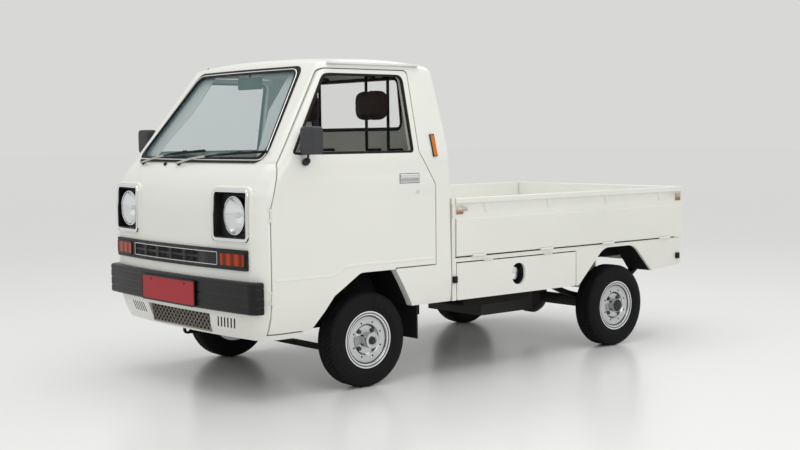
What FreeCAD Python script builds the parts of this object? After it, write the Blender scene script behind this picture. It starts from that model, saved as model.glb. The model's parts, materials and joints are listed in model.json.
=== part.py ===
import FreeCAD, Part
import math
import os
from types import SimpleNamespace

import Sketcher

# A small forward-control flat-bed truck, in millimetres.
# Forward is -Y, the left-hand side is +X, up is +Z, and the ground is Z = 0.

os.makedirs("parts", exist_ok=True)
document = FreeCAD.newDocument("kei_truck")
Vector = FreeCAD.Vector

# Driving sizes, one named cell each
SIZES = {
    # The whole vehicle
    "overall_length": 3195,
    "overall_width": 1395,
    "roof_height": 1640,
    "wheelbase": 1845,
    "front_axle_setback": 741.5,
    # Clearances
    "panel_gap": 6,
    "seat_gap": 0.3,
    "pin_gap": 0.3,
    "overrun": 40,
    # Cab envelope
    "cab_wall": 42,
    "cab_bottom_height": 295,
    "cab_face_setback": 37.5,
    "cab_face_bow_radius": 4784,
    "cab_corner_radius": 95,
    "cab_corner_radius_top": 60,
    "cab_tuck_height": 205,
    "cab_tuck_side": 42,
    "cab_tuck_front": 45,
    "nose_start_height": 880,
    "cowl_height": 1115,
    "cowl_setback": 107,
    "belt_height": 1140,
    "belt_blend": 45,
    "cab_back_foot": 1272.5,
    "cab_back_lean": 20,
    "cab_back_belt_height": 1050,
    "cab_back_top_lean": 85,
    "roof_long_radius": 2600,
    "roof_cross_radius": 6500,
    "roof_crown_setback": 847.5,
    "roof_rim_radius": 40,
    "roof_seam_drop": 52,
    "header_rise": 60,
    "side_lean_share": 0.2276,
    "nose_curve_power": 2.3,
    "gutter_width": 14,
    "gutter_thick": 10,
    "gutter_front_setback": 560,
    "gutter_rear_setback": 1135,
    # Doors
    "door_front_setback": 151.5,
    "door_bottom_height": 326,
    "door_sill_height": 586,
    "door_rear_setback": 1158.5,
    "door_rear_lean_height": 993,
    "door_rear_belt_setback": 1052,
    "door_rear_belt_height": 1159,
    "door_top_drop": 26,
    "door_top_pillar": 46,
    "door_cowl_pillar": 66,
    "door_cowl_height": 1112,
    "door_cheek_height": 900,
    "door_corner_radius": 50,
    "window_sill_height": 1154,
    "window_sill_pillar": 108,
    "window_rear_setback": 1023,
    "window_top_drop": 20,
    "window_top_pillar": 66,
    "window_corner_radius": 38,
    "glass_thick": 5,
    "glass_depth": 16,
    # Front wheel arch, cut through the door and the panel behind it
    "arch_height": 578,
    "arch_front_reach": 351,
    "arch_front_foot_height": 317,
    "arch_mid_reach": 231,
    "arch_mid_height": 479,
    "arch_top_reach": 71,
    "arch_back_reach": 150,
    "arch_rear_foot_reach": 268,
    # Windscreen and rear window
    "screen_bottom_half": 601,
    "screen_bottom_height": 1119,
    "screen_run_share": 0.749,
    "screen_side_pillar": 134,
    "screen_top_drop": 6,
    "screen_corner_radius": 58,
    "screen_rubber": 26,
    "screen_rubber_proud": 7,
    "back_window_half": 398,
    "back_window_height": 280,
    "back_window_drop": 92,
    "back_window_corner_radius": 45,
    # Nose pieces
    "bezel_inner_half": 358,
    "bezel_outer_half": 625,
    "bezel_bottom": 756,
    "bezel_top": 1000,
    "bezel_proud": 10,
    "bezel_rim": 16,
    "bezel_wall": 5,
    "bezel_depth": 24,
    "bezel_corner_radius": 22,
    "lamp_half_spacing": 500,
    "lamp_height": 876,
    "lamp_radius": 89,
    "lamp_depth": 70,
    "lamp_crown": 16,
    "lamp_sunk": 16,
    "grille_half": 617,
    "grille_bottom": 624,
    "grille_top": 720,
    "grille_proud": 12,
    "grille_rib": 6,
    "band_cell": 130,
    "band_divider": 22,
    "band_lower_bottom": 648,
    "band_lower_top": 668,
    "band_upper_bottom": 680,
    "band_upper_top": 698,
    "band_back": 3,
    "signal_inner_half": 430,
    "signal_outer_half": 602,
    "signal_bottom": 644,
    "signal_top": 700,
    "signal_proud": 17,
    "slot_inner_half": 340,
    "slot_pitch": 25,
    "slot_width": 10,
    "slot_bottom": 342,
    "slot_top": 392,
    "slot_lean": 18,
    "inlet_top_half": 297,
    "inlet_bottom_half": 275,
    "inlet_top": 400,
    "inlet_bottom": 306,
    "inlet_bar": 4,
    "inlet_pitch": 34,
    # Bumper and plate
    "bumper_bottom": 425,
    "bumper_top": 575,
    "bumper_side_setback": 103.5,
    "bumper_bow": 34,
    "bumper_stand_out": 30,
    "bumper_corner_radius": 52,
    "bumper_groove": 8,
    "plate_half": 255,
    "plate_bottom": 428,
    "plate_top": 558,
    "plate_thick": 7.5,
    # Wheels
    "tyre_radius": 237,
    "tyre_shoulder": 5,
    "rim_radius": 142,
    "rim_seat_radius": 127,
    "rim_width": 110,
    "rim_sheet": 6,
    "disc_depth": 10,
    "disc_thick": 6,
    "disc_step": 12,
    "disc_step_radius": 80,
    "hub_radius": 39,
    "hub_stand_out": 34,
    "hub_cap_radius": 25,
    "rear_hub_stand_out": 12,
    "hub_length": 62,
    "front_rim_half": 659,
    "rear_rim_half": 681,
    "axle_radius": 15,
    # Knuckles and front suspension
    "kingpin_half": 560,
    "kingpin_radius": 16,
    "kingpin_foot": 166,
    "kingpin_top": 309,
    "arm_thick": 24,
    "arm_width": 40,
    "strut_half": 465,
    "strut_radius": 24,
    "strut_top": 600,
    # Frame
    "rail_half": 330,
    "rail_width": 56,
    "rail_front_bottom": 300,
    "rail_front_top": 384,
    "rail_rear_bottom": 484,
    "rail_rear_top": 584,
    "rail_front_end": 60,
    "rail_kick_start": 1120,
    "rail_kick_end": 1300,
    "rail_rear_end": 70,
    "beam_width": 60,
    "beam_thick": 50,
    # Bed
    "bed_front_setback": 1277.5,
    "bed_floor_top": 640,
    "bed_floor_thick": 34,
    "bed_rib_height": 10,
    "bed_rib_pitch": 110,
    "bed_rib_width": 50,
    "gate_bottom": 613,
    "gate_top": 915,
    "gate_thick": 28,
    "gate_rail_height": 28,
    "gate_recess_height": 78,
    "gate_recess_depth": 10,
    "gate_end_gap": 6,
    "gusset_first_setback": 1520.5,
    "gusset_pitch": 483,
    "gusset_width": 16,
    "gusset_height": 44,
    "headboard_thick": 22,
    "bed_rear_setback": 7,
    "hinge_height": 610,
    "hinge_radius": 7,
    "hinge_pin_radius": 4,
    "hinge_length": 95,
    "hinge_pitch": 517,
    "hinge_first_setback": 1463.5,
    "hinge_reach": 14,
    "tail_hinge_pitch": 465,
    "small_hinge_radius": 4,
    "small_pin_radius": 2,
    "small_hinge_length": 64,
    "small_hinge_reach": 12,
    "door_hinge_low": 500,
    "door_hinge_high": 880,
    "flap_hinge_first": 1537.5,
    "flap_hinge_pitch": 460,
    "apron_setin": 5.5,
    "apron_thick": 16,
    "apron_top": 604,
    "apron_rear_bottom": 441,
    "rear_arch_rear_height": 421,
    "rear_arch_height": 584,
    "rear_arch_front_reach": 334,
    "rear_arch_front_height": 385,
    "rear_arch_top_front_reach": 120,
    "rear_arch_top_rear_reach": 150,
    "rear_arch_rear_reach": 314,
    "flap_front_setback": 1310.5,
    "flap_rear_setback": 2225.5,
    "flap_bottom": 384,
    "flap_top": 577,
    "flap_thick": 14,
    "filler_setback": 1766.5,
    "filler_height": 489,
    "filler_half_width": 50,
    "filler_half_height": 58,
    "filler_depth": 46,
    "filler_cap_radius": 34,
    "filler_cap_length": 30,
    "stop_size": 34,
    "stop_width": 26,
    "stop_proud": 14,
    "stop_height": 494,
    # Cab inside
    "floor_sheet": 10,
    "seat_deck_height": 640,
    "seat_deck_setback": 450,
    "cushion_inner": 45,
    "cushion_outer": 560,
    "cushion_height": 120,
    "cushion_front_setback": 560,
    "cushion_length": 520,
    "back_height": 340,
    "back_thick": 95,
    "headrest_half_spacing": 296,
    "headrest_half_width": 132,
    "headrest_height": 173,
    "headrest_drop": 63,
    "headrest_thick": 60,
    "bar_half_spacing": 90,
    "bar_radius": 8,
    "bar_bottom": 1165,
    "bar_stand_off": 42,
    "dash_bottom": 880,
    "dash_top": 1092,
    "dash_depth": 190,
    "door_swing_room": 116,
    "wheel_column_half": 370,
    "steering_ring_radius": 190,
    "steering_ring_thick": 11,
    "steering_hub_height": 1085,
    "steering_hub_setback": 467,
    "column_foot_setback": 210,
    "column_foot_height": 420,
    "column_radius": 22,
    "column_pin_radius": 9,
    # Masses and fittings below and behind
    "engine_half": 230,
    "engine_length": 430,
    "engine_bottom": 195,
    "engine_top": 560,
    "engine_rear_reach": 230,
    "tank_inner": 385,
    "tank_outer": 620,
    "tank_bottom": 330,
    "tank_top": 560,
    "tank_front_setback": 1420,
    "tank_length": 500,
    "silencer_radius": 72,
    "silencer_height": 330,
    "silencer_reach": 380,
    "silencer_left": 260,
    "silencer_right": 240,
    "rear_tube_radius": 34,
    "rear_case_radius": 105,
    "spring_half": 480,
    "spring_width": 46,
    "spring_thick": 26,
    "spring_reach": 480,
    "flap_sheet": 8,
    "wheelhouse_inner": 510,
    "wheelhouse_sheet": 4,
    "wheelhouse_top": 604,
    "front_wheelhouse_inner": 430,
    "wheelhouse_margin": 6,
    "arch_thick_reach": 30,
    "tow_eye_offset": -60,
    "tow_eye_length": 150,
    "tow_eye_drop": 145,
    "eye_corner_share": 0.9,
    "tow_eye_radius": 24,
    "tow_eye_bore": 13,
    "tow_eye_thick": 14,
    "mudflap_setback": 1040,
    "mudflap_bottom": 212,
    "mudflap_inner": 520,
    "mudflap_outer": 680,
    "tail_lamp_outer": 655,
    "tail_lamp_width": 230,
    "tail_lamp_bottom": 478,
    "tail_lamp_top": 562,
    "tail_lamp_proud": 8,
    "rear_panel_bottom": 441,
    "rear_panel_thick": 14,
    "rear_panel_setin": 21.3,
    # Mirrors, wipers, side markers
    "mirror_setback": 339,
    "mirror_centre_half": 762,
    "mirror_width": 110,
    "mirror_height": 130,
    "mirror_thick": 32,
    "mirror_bottom": 1156,
    "mirror_arm_radius": 6,
    "marker_setback": 1160,
    "marker_width": 23,
    "marker_bottom": 1136,
    "marker_top": 1242,
    "marker_proud": 9,
    "cabin_mirror_half": 95,
    "cabin_mirror_drop": 100,
    "cabin_mirror_height": 60,
    "cabin_mirror_thick": 22,
    "wiper_arm_width": 12,
    "wiper_arm_thick": 8,
    "wiper_length": 380,
    "wiper_height": 1126,
    "wiper_lift": 14,
}

sheet = document.addObject("Spreadsheet::Sheet", "sizes")
for row, (alias, value) in enumerate(SIZES.items(), start=1):
    sheet.set(f"A{row}", alias)
    sheet.set(f"B{row}", str(value))
    sheet.setAlias(f"B{row}", alias)
document.recompute()
S = SimpleNamespace(**{alias: float(sheet.get(alias)) for alias in SIZES})

# Reference planes of the whole vehicle
NOSE = -S.overall_length / 2
TAIL = S.overall_length / 2
SIDE = S.overall_width / 2
FRONT_AXLE = NOSE + S.front_axle_setback
REAR_AXLE = FRONT_AXLE + S.wheelbase
FACE = NOSE + S.cab_face_setback

# Sizes that follow from others
S.header_height = S.roof_height + S.header_rise
S.roof_seam_height = S.roof_height - S.roof_seam_drop
S.screen_top_height = S.roof_seam_height - S.screen_top_drop
S.screen_top_half = SIDE - S.screen_side_pillar - S.side_lean_share * (S.screen_top_height - S.belt_height)
S.door_top_height = S.roof_seam_height - S.door_top_drop
S.window_top_height = S.door_top_height - S.window_top_drop
S.back_window_top = S.roof_height - S.back_window_drop
S.back_window_bottom = S.back_window_top - S.back_window_height
S.headrest_top = S.back_window_top - S.headrest_drop
S.headrest_bottom = S.headrest_top - S.headrest_height
S.cabin_mirror_bottom = S.screen_top_height - S.cabin_mirror_drop

PIECES = {}
HINGES = []


# Small helpers for outlines and solids


def place(name, shape):
    """Keeps a shape as a named piece of the vehicle."""
    piece = document.addObject("Part::Feature", name)
    piece.Label = name
    piece.Shape = shape
    PIECES[name] = piece
    return piece


def keep(name, thing):
    """Gives a modelled object its label and puts it on the list of pieces."""
    thing.Label = name
    PIECES[name] = thing
    return thing


def line(start, end):
    return Part.LineSegment(start, end).toShape()


def arc(start, middle, end):
    return Part.Arc(start, middle, end).toShape()


def rounded(corners, to_point):
    """Closed wire through (u, v, radius) corners, each rounded by a tangent arc."""
    points = [to_point(u, v) for u, v, _ in corners]
    radii = [radius for _, _, radius in corners]
    count = len(points)
    starts, middles, ends = [], [], []
    for index in range(count):
        here = points[index]
        back = (points[index - 1] - here).normalize()
        ahead = (points[(index + 1) % count] - here).normalize()
        radius = radii[index]
        half = back.getAngle(ahead) / 2
        reach = radius / math.tan(half)
        bisector = back + ahead
        starts.append(here + back * reach)
        ends.append(here + ahead * reach)
        if radius > 0:
            bisector.normalize()
            centre_reach = radius / math.sin(half)
            middles.append(here + bisector * (centre_reach - radius))
        else:
            middles.append(None)
    edges = []
    for index in range(count):
        if middles[index] is not None:
            edges.append(arc(starts[index], middles[index], ends[index]))
        following = (index + 1) % count
        if (starts[following] - ends[index]).Length > 1e-6:
            edges.append(line(ends[index], starts[following]))
    return Part.Wire(edges)


def side_prism(corners, low, high):
    """Solid with an outline of (y, z, radius) corners, from x = low to x = high."""
    wire = rounded(corners, lambda y, z: Vector(low, y, z))
    return Part.Face(wire).extrude(Vector(high - low, 0, 0))


def front_prism(corners, low, high):
    """Solid with an outline of (x, z, radius) corners, from y = low to y = high."""
    wire = rounded(corners, lambda x, z: Vector(x, low, z))
    return Part.Face(wire).extrude(Vector(0, high - low, 0))


def plan_prism(corners, low, high):
    """Solid with an outline of (x, y, radius) corners, from z = low to z = high."""
    wire = rounded(corners, lambda x, y: Vector(x, y, low))
    return Part.Face(wire).extrude(Vector(0, 0, high - low))


def span(x, y, z):
    """Rectangular solid between pairs of limits."""
    return Part.makeBox(x[1] - x[0], y[1] - y[0], z[1] - z[0], Vector(x[0], y[0], z[0]))


def rod(radius, start, end):
    """Round bar from one point to another."""
    return Part.makeCylinder(radius, (end - start).Length, start, end - start)


def mirrored(shape):
    """The same shape on the other side of the vehicle."""
    return shape.mirror(Vector(0, 0, 0), Vector(1, 0, 0))


def both(shape):
    """A left-hand shape and its right-hand twin as one set of solids."""
    return Part.makeCompound([shape, mirrored(shape)])


def one(shape):
    """The single solid of a boolean's result."""
    solids = shape.Solids
    return max(solids, key=lambda solid: solid.Volume)


def solids_of(shape, smallest_share=0.002):
    """The solids of a boolean's result, without slivers."""
    largest = max(solid.Volume for solid in shape.Solids)
    kept = [solid for solid in shape.Solids if solid.Volume > largest * smallest_share]
    return kept[0] if len(kept) == 1 else Part.makeCompound(kept)


# The cab's outer form: plan contours lofted upwards, cut by the back and the roof


def contour(height, half_width, front, corner, inset):
    """Plan outline of the cab at one height: bowed front, round corners, straight sides."""
    half_width = half_width - inset
    front = front + inset
    back = NOSE + S.cab_back_foot - inset
    corner = max(corner - inset, corner / 4)
    bow = (half_width - corner) ** 2 / (2 * S.cab_face_bow_radius)
    cheek = front + bow
    diagonal = math.sqrt(0.5)

    def at(x, y):
        return Vector(x, y, height)

    def half(hand):
        side = at(hand * half_width, cheek + corner)
        turn = at(hand * (half_width - corner + corner * diagonal), cheek + corner - corner * diagonal)
        face = at(hand * (half_width - corner), cheek)
        rear = at(hand * half_width, back)
        return rear, side, turn, face

    left, right = half(1), half(-1)
    edges = [line(left[0], left[1]), arc(left[1], left[2], left[3])]
    edges.append(arc(left[3], at(0, front), right[3]))
    edges += [arc(right[3], right[2], right[1]), line(right[1], right[0]), line(right[0], left[0])]
    return Part.Wire(edges)


def cab_contours(inset):
    """Contours from the sill to above the roof: tucked foot, upright nose, leaning screen."""
    bottom = S.cab_bottom_height
    upright = S.nose_start_height
    cowl = S.cowl_height
    radius = S.cab_corner_radius
    rows = []
    for share in TUCK_HEIGHT_SHARES:
        ease = (1 - share) ** 2
        height = bottom + S.cab_tuck_height * share
        rows.append((height, SIDE - S.cab_tuck_side * ease, FACE + S.cab_tuck_front * ease, radius))
    for share in NOSE_HEIGHT_SHARES:
        height = upright + (cowl - upright) * share
        rows.append((height, SIDE, FACE + S.cowl_setback * share ** S.nose_curve_power, radius))
    lean = S.side_lean_share
    blend_low = S.belt_height - S.belt_blend
    blend_high = S.belt_height + S.belt_blend
    heights = [S.belt_height, S.belt_height + S.belt_blend / 2, blend_high, S.header_height]
    for height in heights:
        if height < blend_high:
            inward = lean * max(height - blend_low, 0) ** 2 / (4 * S.belt_blend)
        else:
            inward = lean * (height - S.belt_height)
        climb = (height - cowl) / (S.header_height - cowl)
        corner = radius + (S.cab_corner_radius_top - radius) * climb
        rows.append((height, SIDE - inward, screen_line(height), corner))
    return [contour(height, half, front, corner, inset) for height, half, front, corner in rows]


def screen_line(height):
    """Where the plane of the windscreen is at a height, on the middle of the cab."""
    return FACE + S.cowl_setback + S.screen_run_share * (height - S.cowl_height)


def back_limit(inset):
    """Everything ahead of the cab's back wall, which leans forward towards the roof."""
    foot = NOSE + S.cab_back_foot - inset
    belt = foot - S.cab_back_lean
    top = foot - S.cab_back_top_lean
    middle_height = (S.cab_back_belt_height + S.header_height) / 2
    reach = S.overall_width

    def at(y, z):
        return Vector(-reach, y, z)

    ahead = NOSE - S.overrun
    low = at(foot, S.cab_bottom_height - S.overrun)
    bend = at(belt, S.cab_back_belt_height)
    lean = at(belt - (belt - top) * 0.3, middle_height)
    high = at(top, S.header_height + S.overrun)
    edges = [line(low, bend), arc(bend, lean, high)]
    edges.append(line(high, at(ahead, S.header_height + S.overrun)))
    edges.append(line(at(ahead, S.header_height + S.overrun), at(ahead, low.z)))
    edges.append(line(at(ahead, low.z), low))
    return Part.Face(Part.Wire(edges)).extrude(Vector(2 * reach, 0, 0))


def roof_limit(inset):
    """Everything under the roof, which is crowned both ways."""
    top = S.roof_height - inset
    middle = NOSE + S.roof_crown_setback
    reach = S.overall_width
    drop = S.roof_cross_radius - math.sqrt(S.roof_cross_radius ** 2 - reach ** 2)

    def at(x, z):
        return Vector(x, middle, z)

    foot = S.cab_bottom_height - S.overrun
    edges = [arc(at(-reach, top - drop), at(0, top), at(reach, top - drop))]
    edges.append(line(at(reach, top - drop), at(reach, foot)))
    edges.append(line(at(reach, foot), at(-reach, foot)))
    edges.append(line(at(-reach, foot), at(-reach, top - drop)))
    face = Part.Face(Part.Wire(edges))
    centre = Vector(0, middle, top - S.roof_long_radius)
    face.rotate(centre, Vector(1, 0, 0), -45)
    return face.revolve(centre, Vector(1, 0, 0), 90)


TUCK_HEIGHT_SHARES = (0, 0.25, 0.55, 1)
NOSE_HEIGHT_SHARES = (0, 0.4, 0.7, 0.88, 1)
FORMS = {}


def cab_form(inset, soften=False):
    """The closed form of the cab, set in from the outer skin, made once for each inset."""
    if (inset, soften) not in FORMS:
        FORMS[inset, soften] = make_cab_form(inset, soften)
    return FORMS[inset, soften]


def make_cab_form(inset, soften):
    form = Part.makeLoft(cab_contours(inset), True, True)
    form = one(form.common(back_limit(inset)).common(roof_limit(inset)))
    if soften:
        rim = [edge for edge in form.Edges if edge.CenterOfMass.z > S.roof_seam_height]
        form = form.makeFillet(S.roof_rim_radius, rim)
    return form


OUTER = cab_form(0, soften=True)
INNER = cab_form(S.cab_wall)


def layer(prism, proud, sunk):
    """The part of a prism that lies between two offsets from the cab's skin."""
    return prism.common(cab_form(-proud)).cut(cab_form(sunk))


# Doors, and the outlines that the doors and the cab share


def door_corners(margin):
    """Door outline seen from the side, grown by a margin."""
    front = NOSE + S.door_front_setback - margin
    rear = NOSE + S.door_rear_setback + margin
    belt_rear = NOSE + S.door_rear_belt_setback + margin
    top_front = screen_line(S.door_top_height) + S.door_top_pillar - margin
    cowl_front = screen_line(S.door_cowl_height) + S.door_cowl_pillar - margin
    radius = S.door_corner_radius
    foot = S.door_bottom_height - margin
    return [
        (front, foot, 0),
        (FRONT_AXLE - S.arch_front_reach, foot, 0),
        (FRONT_AXLE - S.arch_mid_reach, S.arch_mid_height - margin, 30),
        (FRONT_AXLE - S.arch_top_reach, S.arch_height - margin, 60),
        (FRONT_AXLE + S.arch_back_reach + margin, S.arch_height - margin, 0),
        (FRONT_AXLE + S.arch_back_reach + margin, S.door_sill_height - margin, 0),
        (rear, S.door_sill_height - margin, 0),
        (rear, S.door_rear_lean_height, radius),
        (belt_rear, S.door_rear_belt_height, radius),
        (belt_rear, S.door_top_height + margin, radius / 2),
        (top_front, S.door_top_height + margin, radius),
        (cowl_front, S.door_cowl_height, radius),
        (front, S.door_cheek_height, radius),
    ]


def window_corners(margin):
    """Side window outline, shrunk by a margin."""
    radius = S.window_corner_radius
    rear = NOSE + S.window_rear_setback - margin
    sill_front = screen_line(S.window_sill_height) + S.window_sill_pillar + margin * 2
    top_front = screen_line(S.window_top_height) + S.window_top_pillar + margin
    return [
        (sill_front, S.window_sill_height + margin, radius / 2),
        (rear, S.window_sill_height + margin, radius / 2),
        (rear, S.window_top_height - margin, radius),
        (top_front, S.window_top_height - margin, radius),
    ]


def door_hinge_centres():
    x = SIDE - S.panel_gap / 4
    y = NOSE + S.door_front_setback - S.panel_gap / 2
    return [Vector(x, y, S.door_hinge_low), Vector(x, y, S.door_hinge_high)]


def door_hinge(centre):
    """Barrel hinge in the gap ahead of a door."""
    size = (S.small_hinge_radius, S.small_pin_radius, S.small_hinge_length, S.small_hinge_reach)
    ahead, behind = Vector(0, -1, 0), Vector(0, 1, 0)
    return hinge(centre, Vector(0, 0, 1), Vector(1, 0, 0), ahead, behind, size)


def make_doors():
    """Each door is its share of the cab wall, with its window cut through."""
    inner_limit = SIDE / 2
    blank = side_prism(door_corners(0), inner_limit, SIDE + S.overrun)
    opening = side_prism(window_corners(0), inner_limit, SIDE + S.overrun)
    left = one(blank.cut(opening).common(OUTER).cut(INNER))
    centres = door_hinge_centres()
    fixed_sets, rooms, tongues = [], [], []
    for centre in centres:
        fixed, moving, room = door_hinge(centre)
        fixed_sets.append(fixed)
        rooms.append(room)
        tongues.append(moving)
    left = one(left.cut(rooms).fuse(tongues))
    HINGES.extend(fixed_sets + [mirrored(fixed) for fixed in fixed_sets])
    pane_limit = side_prism(window_corners(S.seat_gap), inner_limit, SIDE + S.overrun)
    pane = one(layer(pane_limit, -S.glass_depth, S.glass_depth + S.glass_thick))
    place("door_left", left)
    place("door_right", mirrored(left))
    place("door_glass_left", pane)
    place("door_glass_right", mirrored(pane))


def screen_corners(margin):
    """Windscreen opening seen from the front, shrunk by a margin."""
    radius = S.screen_corner_radius - margin / 2
    low, high = S.screen_bottom_height + margin, S.screen_top_height - margin
    bottom, top = S.screen_bottom_half - margin, S.screen_top_half - margin
    return [(-bottom, low, radius), (bottom, low, radius), (top, high, radius), (-top, high, radius)]


def back_window_corners(margin):
    """Rear window opening seen from behind, shrunk by a margin."""
    radius = S.back_window_corner_radius - margin / 2
    half = S.back_window_half - margin
    low, high = S.back_window_bottom + margin, S.back_window_top - margin
    return [(-half, low, radius), (half, low, radius), (half, high, radius), (-half, high, radius)]


def make_cab_shell():
    """The fixed cab panels: front, pillars, roof and back, split at their seams."""
    far_front = NOSE - S.overrun
    middle = FRONT_AXLE
    behind = NOSE + S.cab_back_foot + S.overrun
    shell = OUTER.cut(INNER)
    for hand in (1, -1):
        gap = side_prism(door_corners(S.panel_gap), SIDE / 2, SIDE + S.overrun)
        shell = shell.cut(gap if hand > 0 else mirrored(gap))
    shell = shell.cut(front_prism(screen_corners(0), far_front, middle))
    shell = shell.cut(front_prism(back_window_corners(0), middle, behind))
    wide = (-SIDE - S.overrun, SIDE + S.overrun)
    low = S.cab_bottom_height - S.overrun
    arch = [
        (FRONT_AXLE - S.arch_front_reach - S.overrun, low, 0),
        (FRONT_AXLE + S.arch_rear_foot_reach, low, 0),
        (FRONT_AXLE + S.arch_rear_foot_reach, S.flap_bottom, 0),
        (FRONT_AXLE + S.arch_back_reach, S.arch_height, 0),
        (FRONT_AXLE - S.arch_front_reach - S.overrun, S.arch_height, 0),
    ]
    shell = shell.cut(side_prism(arch, *wide))
    cheek = SIDE - 2 * S.cab_wall
    shell = shell.cut(span((-cheek, cheek), (middle, behind), (low, S.rail_rear_top + S.stop_proud)))
    front_box = span(wide, (far_front, middle), (low, S.cowl_height))
    pillar_box = span(wide, (far_front, middle), (S.cowl_height, S.roof_seam_height))
    rear_box = span(wide, (middle, behind), (S.flap_bottom, S.roof_seam_height))
    roof_box = span(wide, (far_front, behind), (S.roof_seam_height, S.header_height))
    front_panel = one(shell.common(front_box))
    front_panel = front_panel.cut(nose_openings())
    for centre in door_hinge_centres():
        fixed, _, room = door_hinge(centre)
        front_panel = front_panel.cut([room, mirrored(room), fixed, mirrored(fixed)])
    place("cab_front_panel", one(front_panel))
    place("cab_pillars", one(shell.common(pillar_box)))
    place("cab_back_panel", solids_of(shell.common(rear_box)))
    roof = one(shell.common(roof_box))
    place("cab_roof", one(roof.fuse([gutter(1), gutter(-1)])))


def gutter(hand):
    """Rain gutter along the side of the roof."""
    height = S.roof_seam_height
    edge = SIDE - S.side_lean_share * (height - S.belt_height)
    inner = edge - S.gutter_width / 2
    outer = edge + S.gutter_width
    limits_x = (inner, outer) if hand > 0 else (-outer, -inner)
    limits_y = (NOSE + S.gutter_front_setback, NOSE + S.gutter_rear_setback)
    return span(limits_x, limits_y, (height, height + S.gutter_thick))


def nose_openings():
    """Lamp bowls, cooling inlet and slots cut through the front panel."""
    far = NOSE - S.overrun
    deep = FACE + S.cowl_setback + S.cab_wall
    cuts = []
    for hand in (1, -1):
        cuts.append(front_prism(bezel_corners(hand, S.bezel_rim - S.seat_gap), far, deep))
        for index in range(6):
            x = S.slot_inner_half + index * S.slot_pitch
            corners = [
                (hand * x, S.slot_bottom, 0),
                (hand * (x + S.slot_width), S.slot_bottom, 0),
                (hand * (x + S.slot_width + S.slot_lean), S.slot_top, 0),
                (hand * (x + S.slot_lean), S.slot_top, 0),
            ]
            cuts.append(front_prism(corners, far, deep))
    cuts.append(front_prism(inlet_corners(0), far, deep))
    return cuts


def bezel_corners(hand, margin):
    """Outline of a lamp's bezel, shrunk by a margin."""
    low, high = sorted((hand * (S.bezel_inner_half + margin), hand * (S.bezel_outer_half - margin)))
    bottom, top = S.bezel_bottom + margin, S.bezel_top - margin
    radius = S.bezel_corner_radius - margin / 2
    return [(low, bottom, radius), (high, bottom, radius), (high, top, radius), (low, top, radius)]


def lamp_bezel(hand):
    """Rim on the skin with a tray behind it, open for the round lamp."""
    far = NOSE - S.overrun
    deep = FACE + S.cowl_setback + S.cab_wall
    rim = layer(front_prism(bezel_corners(hand, 0), far, deep), S.bezel_proud, -S.seat_gap)
    sunk = S.bezel_depth + S.bezel_wall
    tray = layer(front_prism(bezel_corners(hand, S.bezel_rim), far, deep), S.bezel_proud, sunk)
    hollow_prism = front_prism(bezel_corners(hand, S.bezel_rim + S.bezel_wall), far, deep)
    hollow = layer(hollow_prism, S.bezel_proud * 2, S.bezel_depth)
    centre = Vector(hand * S.lamp_half_spacing, far, S.lamp_height)
    hole = rod(S.lamp_radius + S.seat_gap, centre, centre + Vector(0, deep - far, 0))
    return one(rim.fuse(tray).cut([hollow, hole]))


def band_slots():
    """Two rows of slots in the middle of the grille band; the last cell stays plain."""
    far = NOSE - S.overrun
    deep = FACE + S.cowl_setback + S.cab_wall
    margin = S.band_divider / 2
    rows = ((S.band_lower_bottom, S.band_lower_top), (S.band_upper_bottom, S.band_upper_top))
    slots = []
    for index in range(-3, 2):
        left, right = index * S.band_cell + margin, (index + 1) * S.band_cell - margin
        for low, high in rows:
            corners = [(left, low, 0), (right, low, 0), (right, high, 0), (left, high, 0)]
            slots.append(layer(front_prism(corners, far, deep), 2 * S.grille_proud, -S.band_back))
    return slots


def inlet_corners(margin):
    """Cooling inlet under the bumper, shrunk by a margin."""
    top, bottom = S.inlet_top_half - margin, S.inlet_bottom_half - margin
    low, high = S.inlet_bottom + margin, S.inlet_top - margin
    radius = S.grille_rib
    return [(-bottom, low, radius), (bottom, low, radius), (top, high, radius), (-top, high, radius)]


def make_screens():
    """Windscreen, its rubber, and the rear window."""
    far_front = NOSE - S.overrun
    middle = FRONT_AXLE
    behind = NOSE + S.cab_back_foot + S.overrun
    ring = front_prism(screen_corners(0), far_front, middle)
    hole = front_prism(screen_corners(S.screen_rubber), far_front, middle)
    place("windscreen_rubber", one(layer(ring.cut(hole), S.screen_rubber_proud, S.cab_wall / 2)))
    pane = front_prism(screen_corners(S.screen_rubber + S.seat_gap), far_front, middle)
    place("windscreen", one(layer(pane, -S.glass_thick, 2 * S.glass_thick)))
    back_pane = front_prism(back_window_corners(S.seat_gap), middle, behind)
    place("rear_window", one(layer(back_pane, -S.glass_depth, S.glass_depth + S.glass_thick)))


# Pieces on the nose


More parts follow.
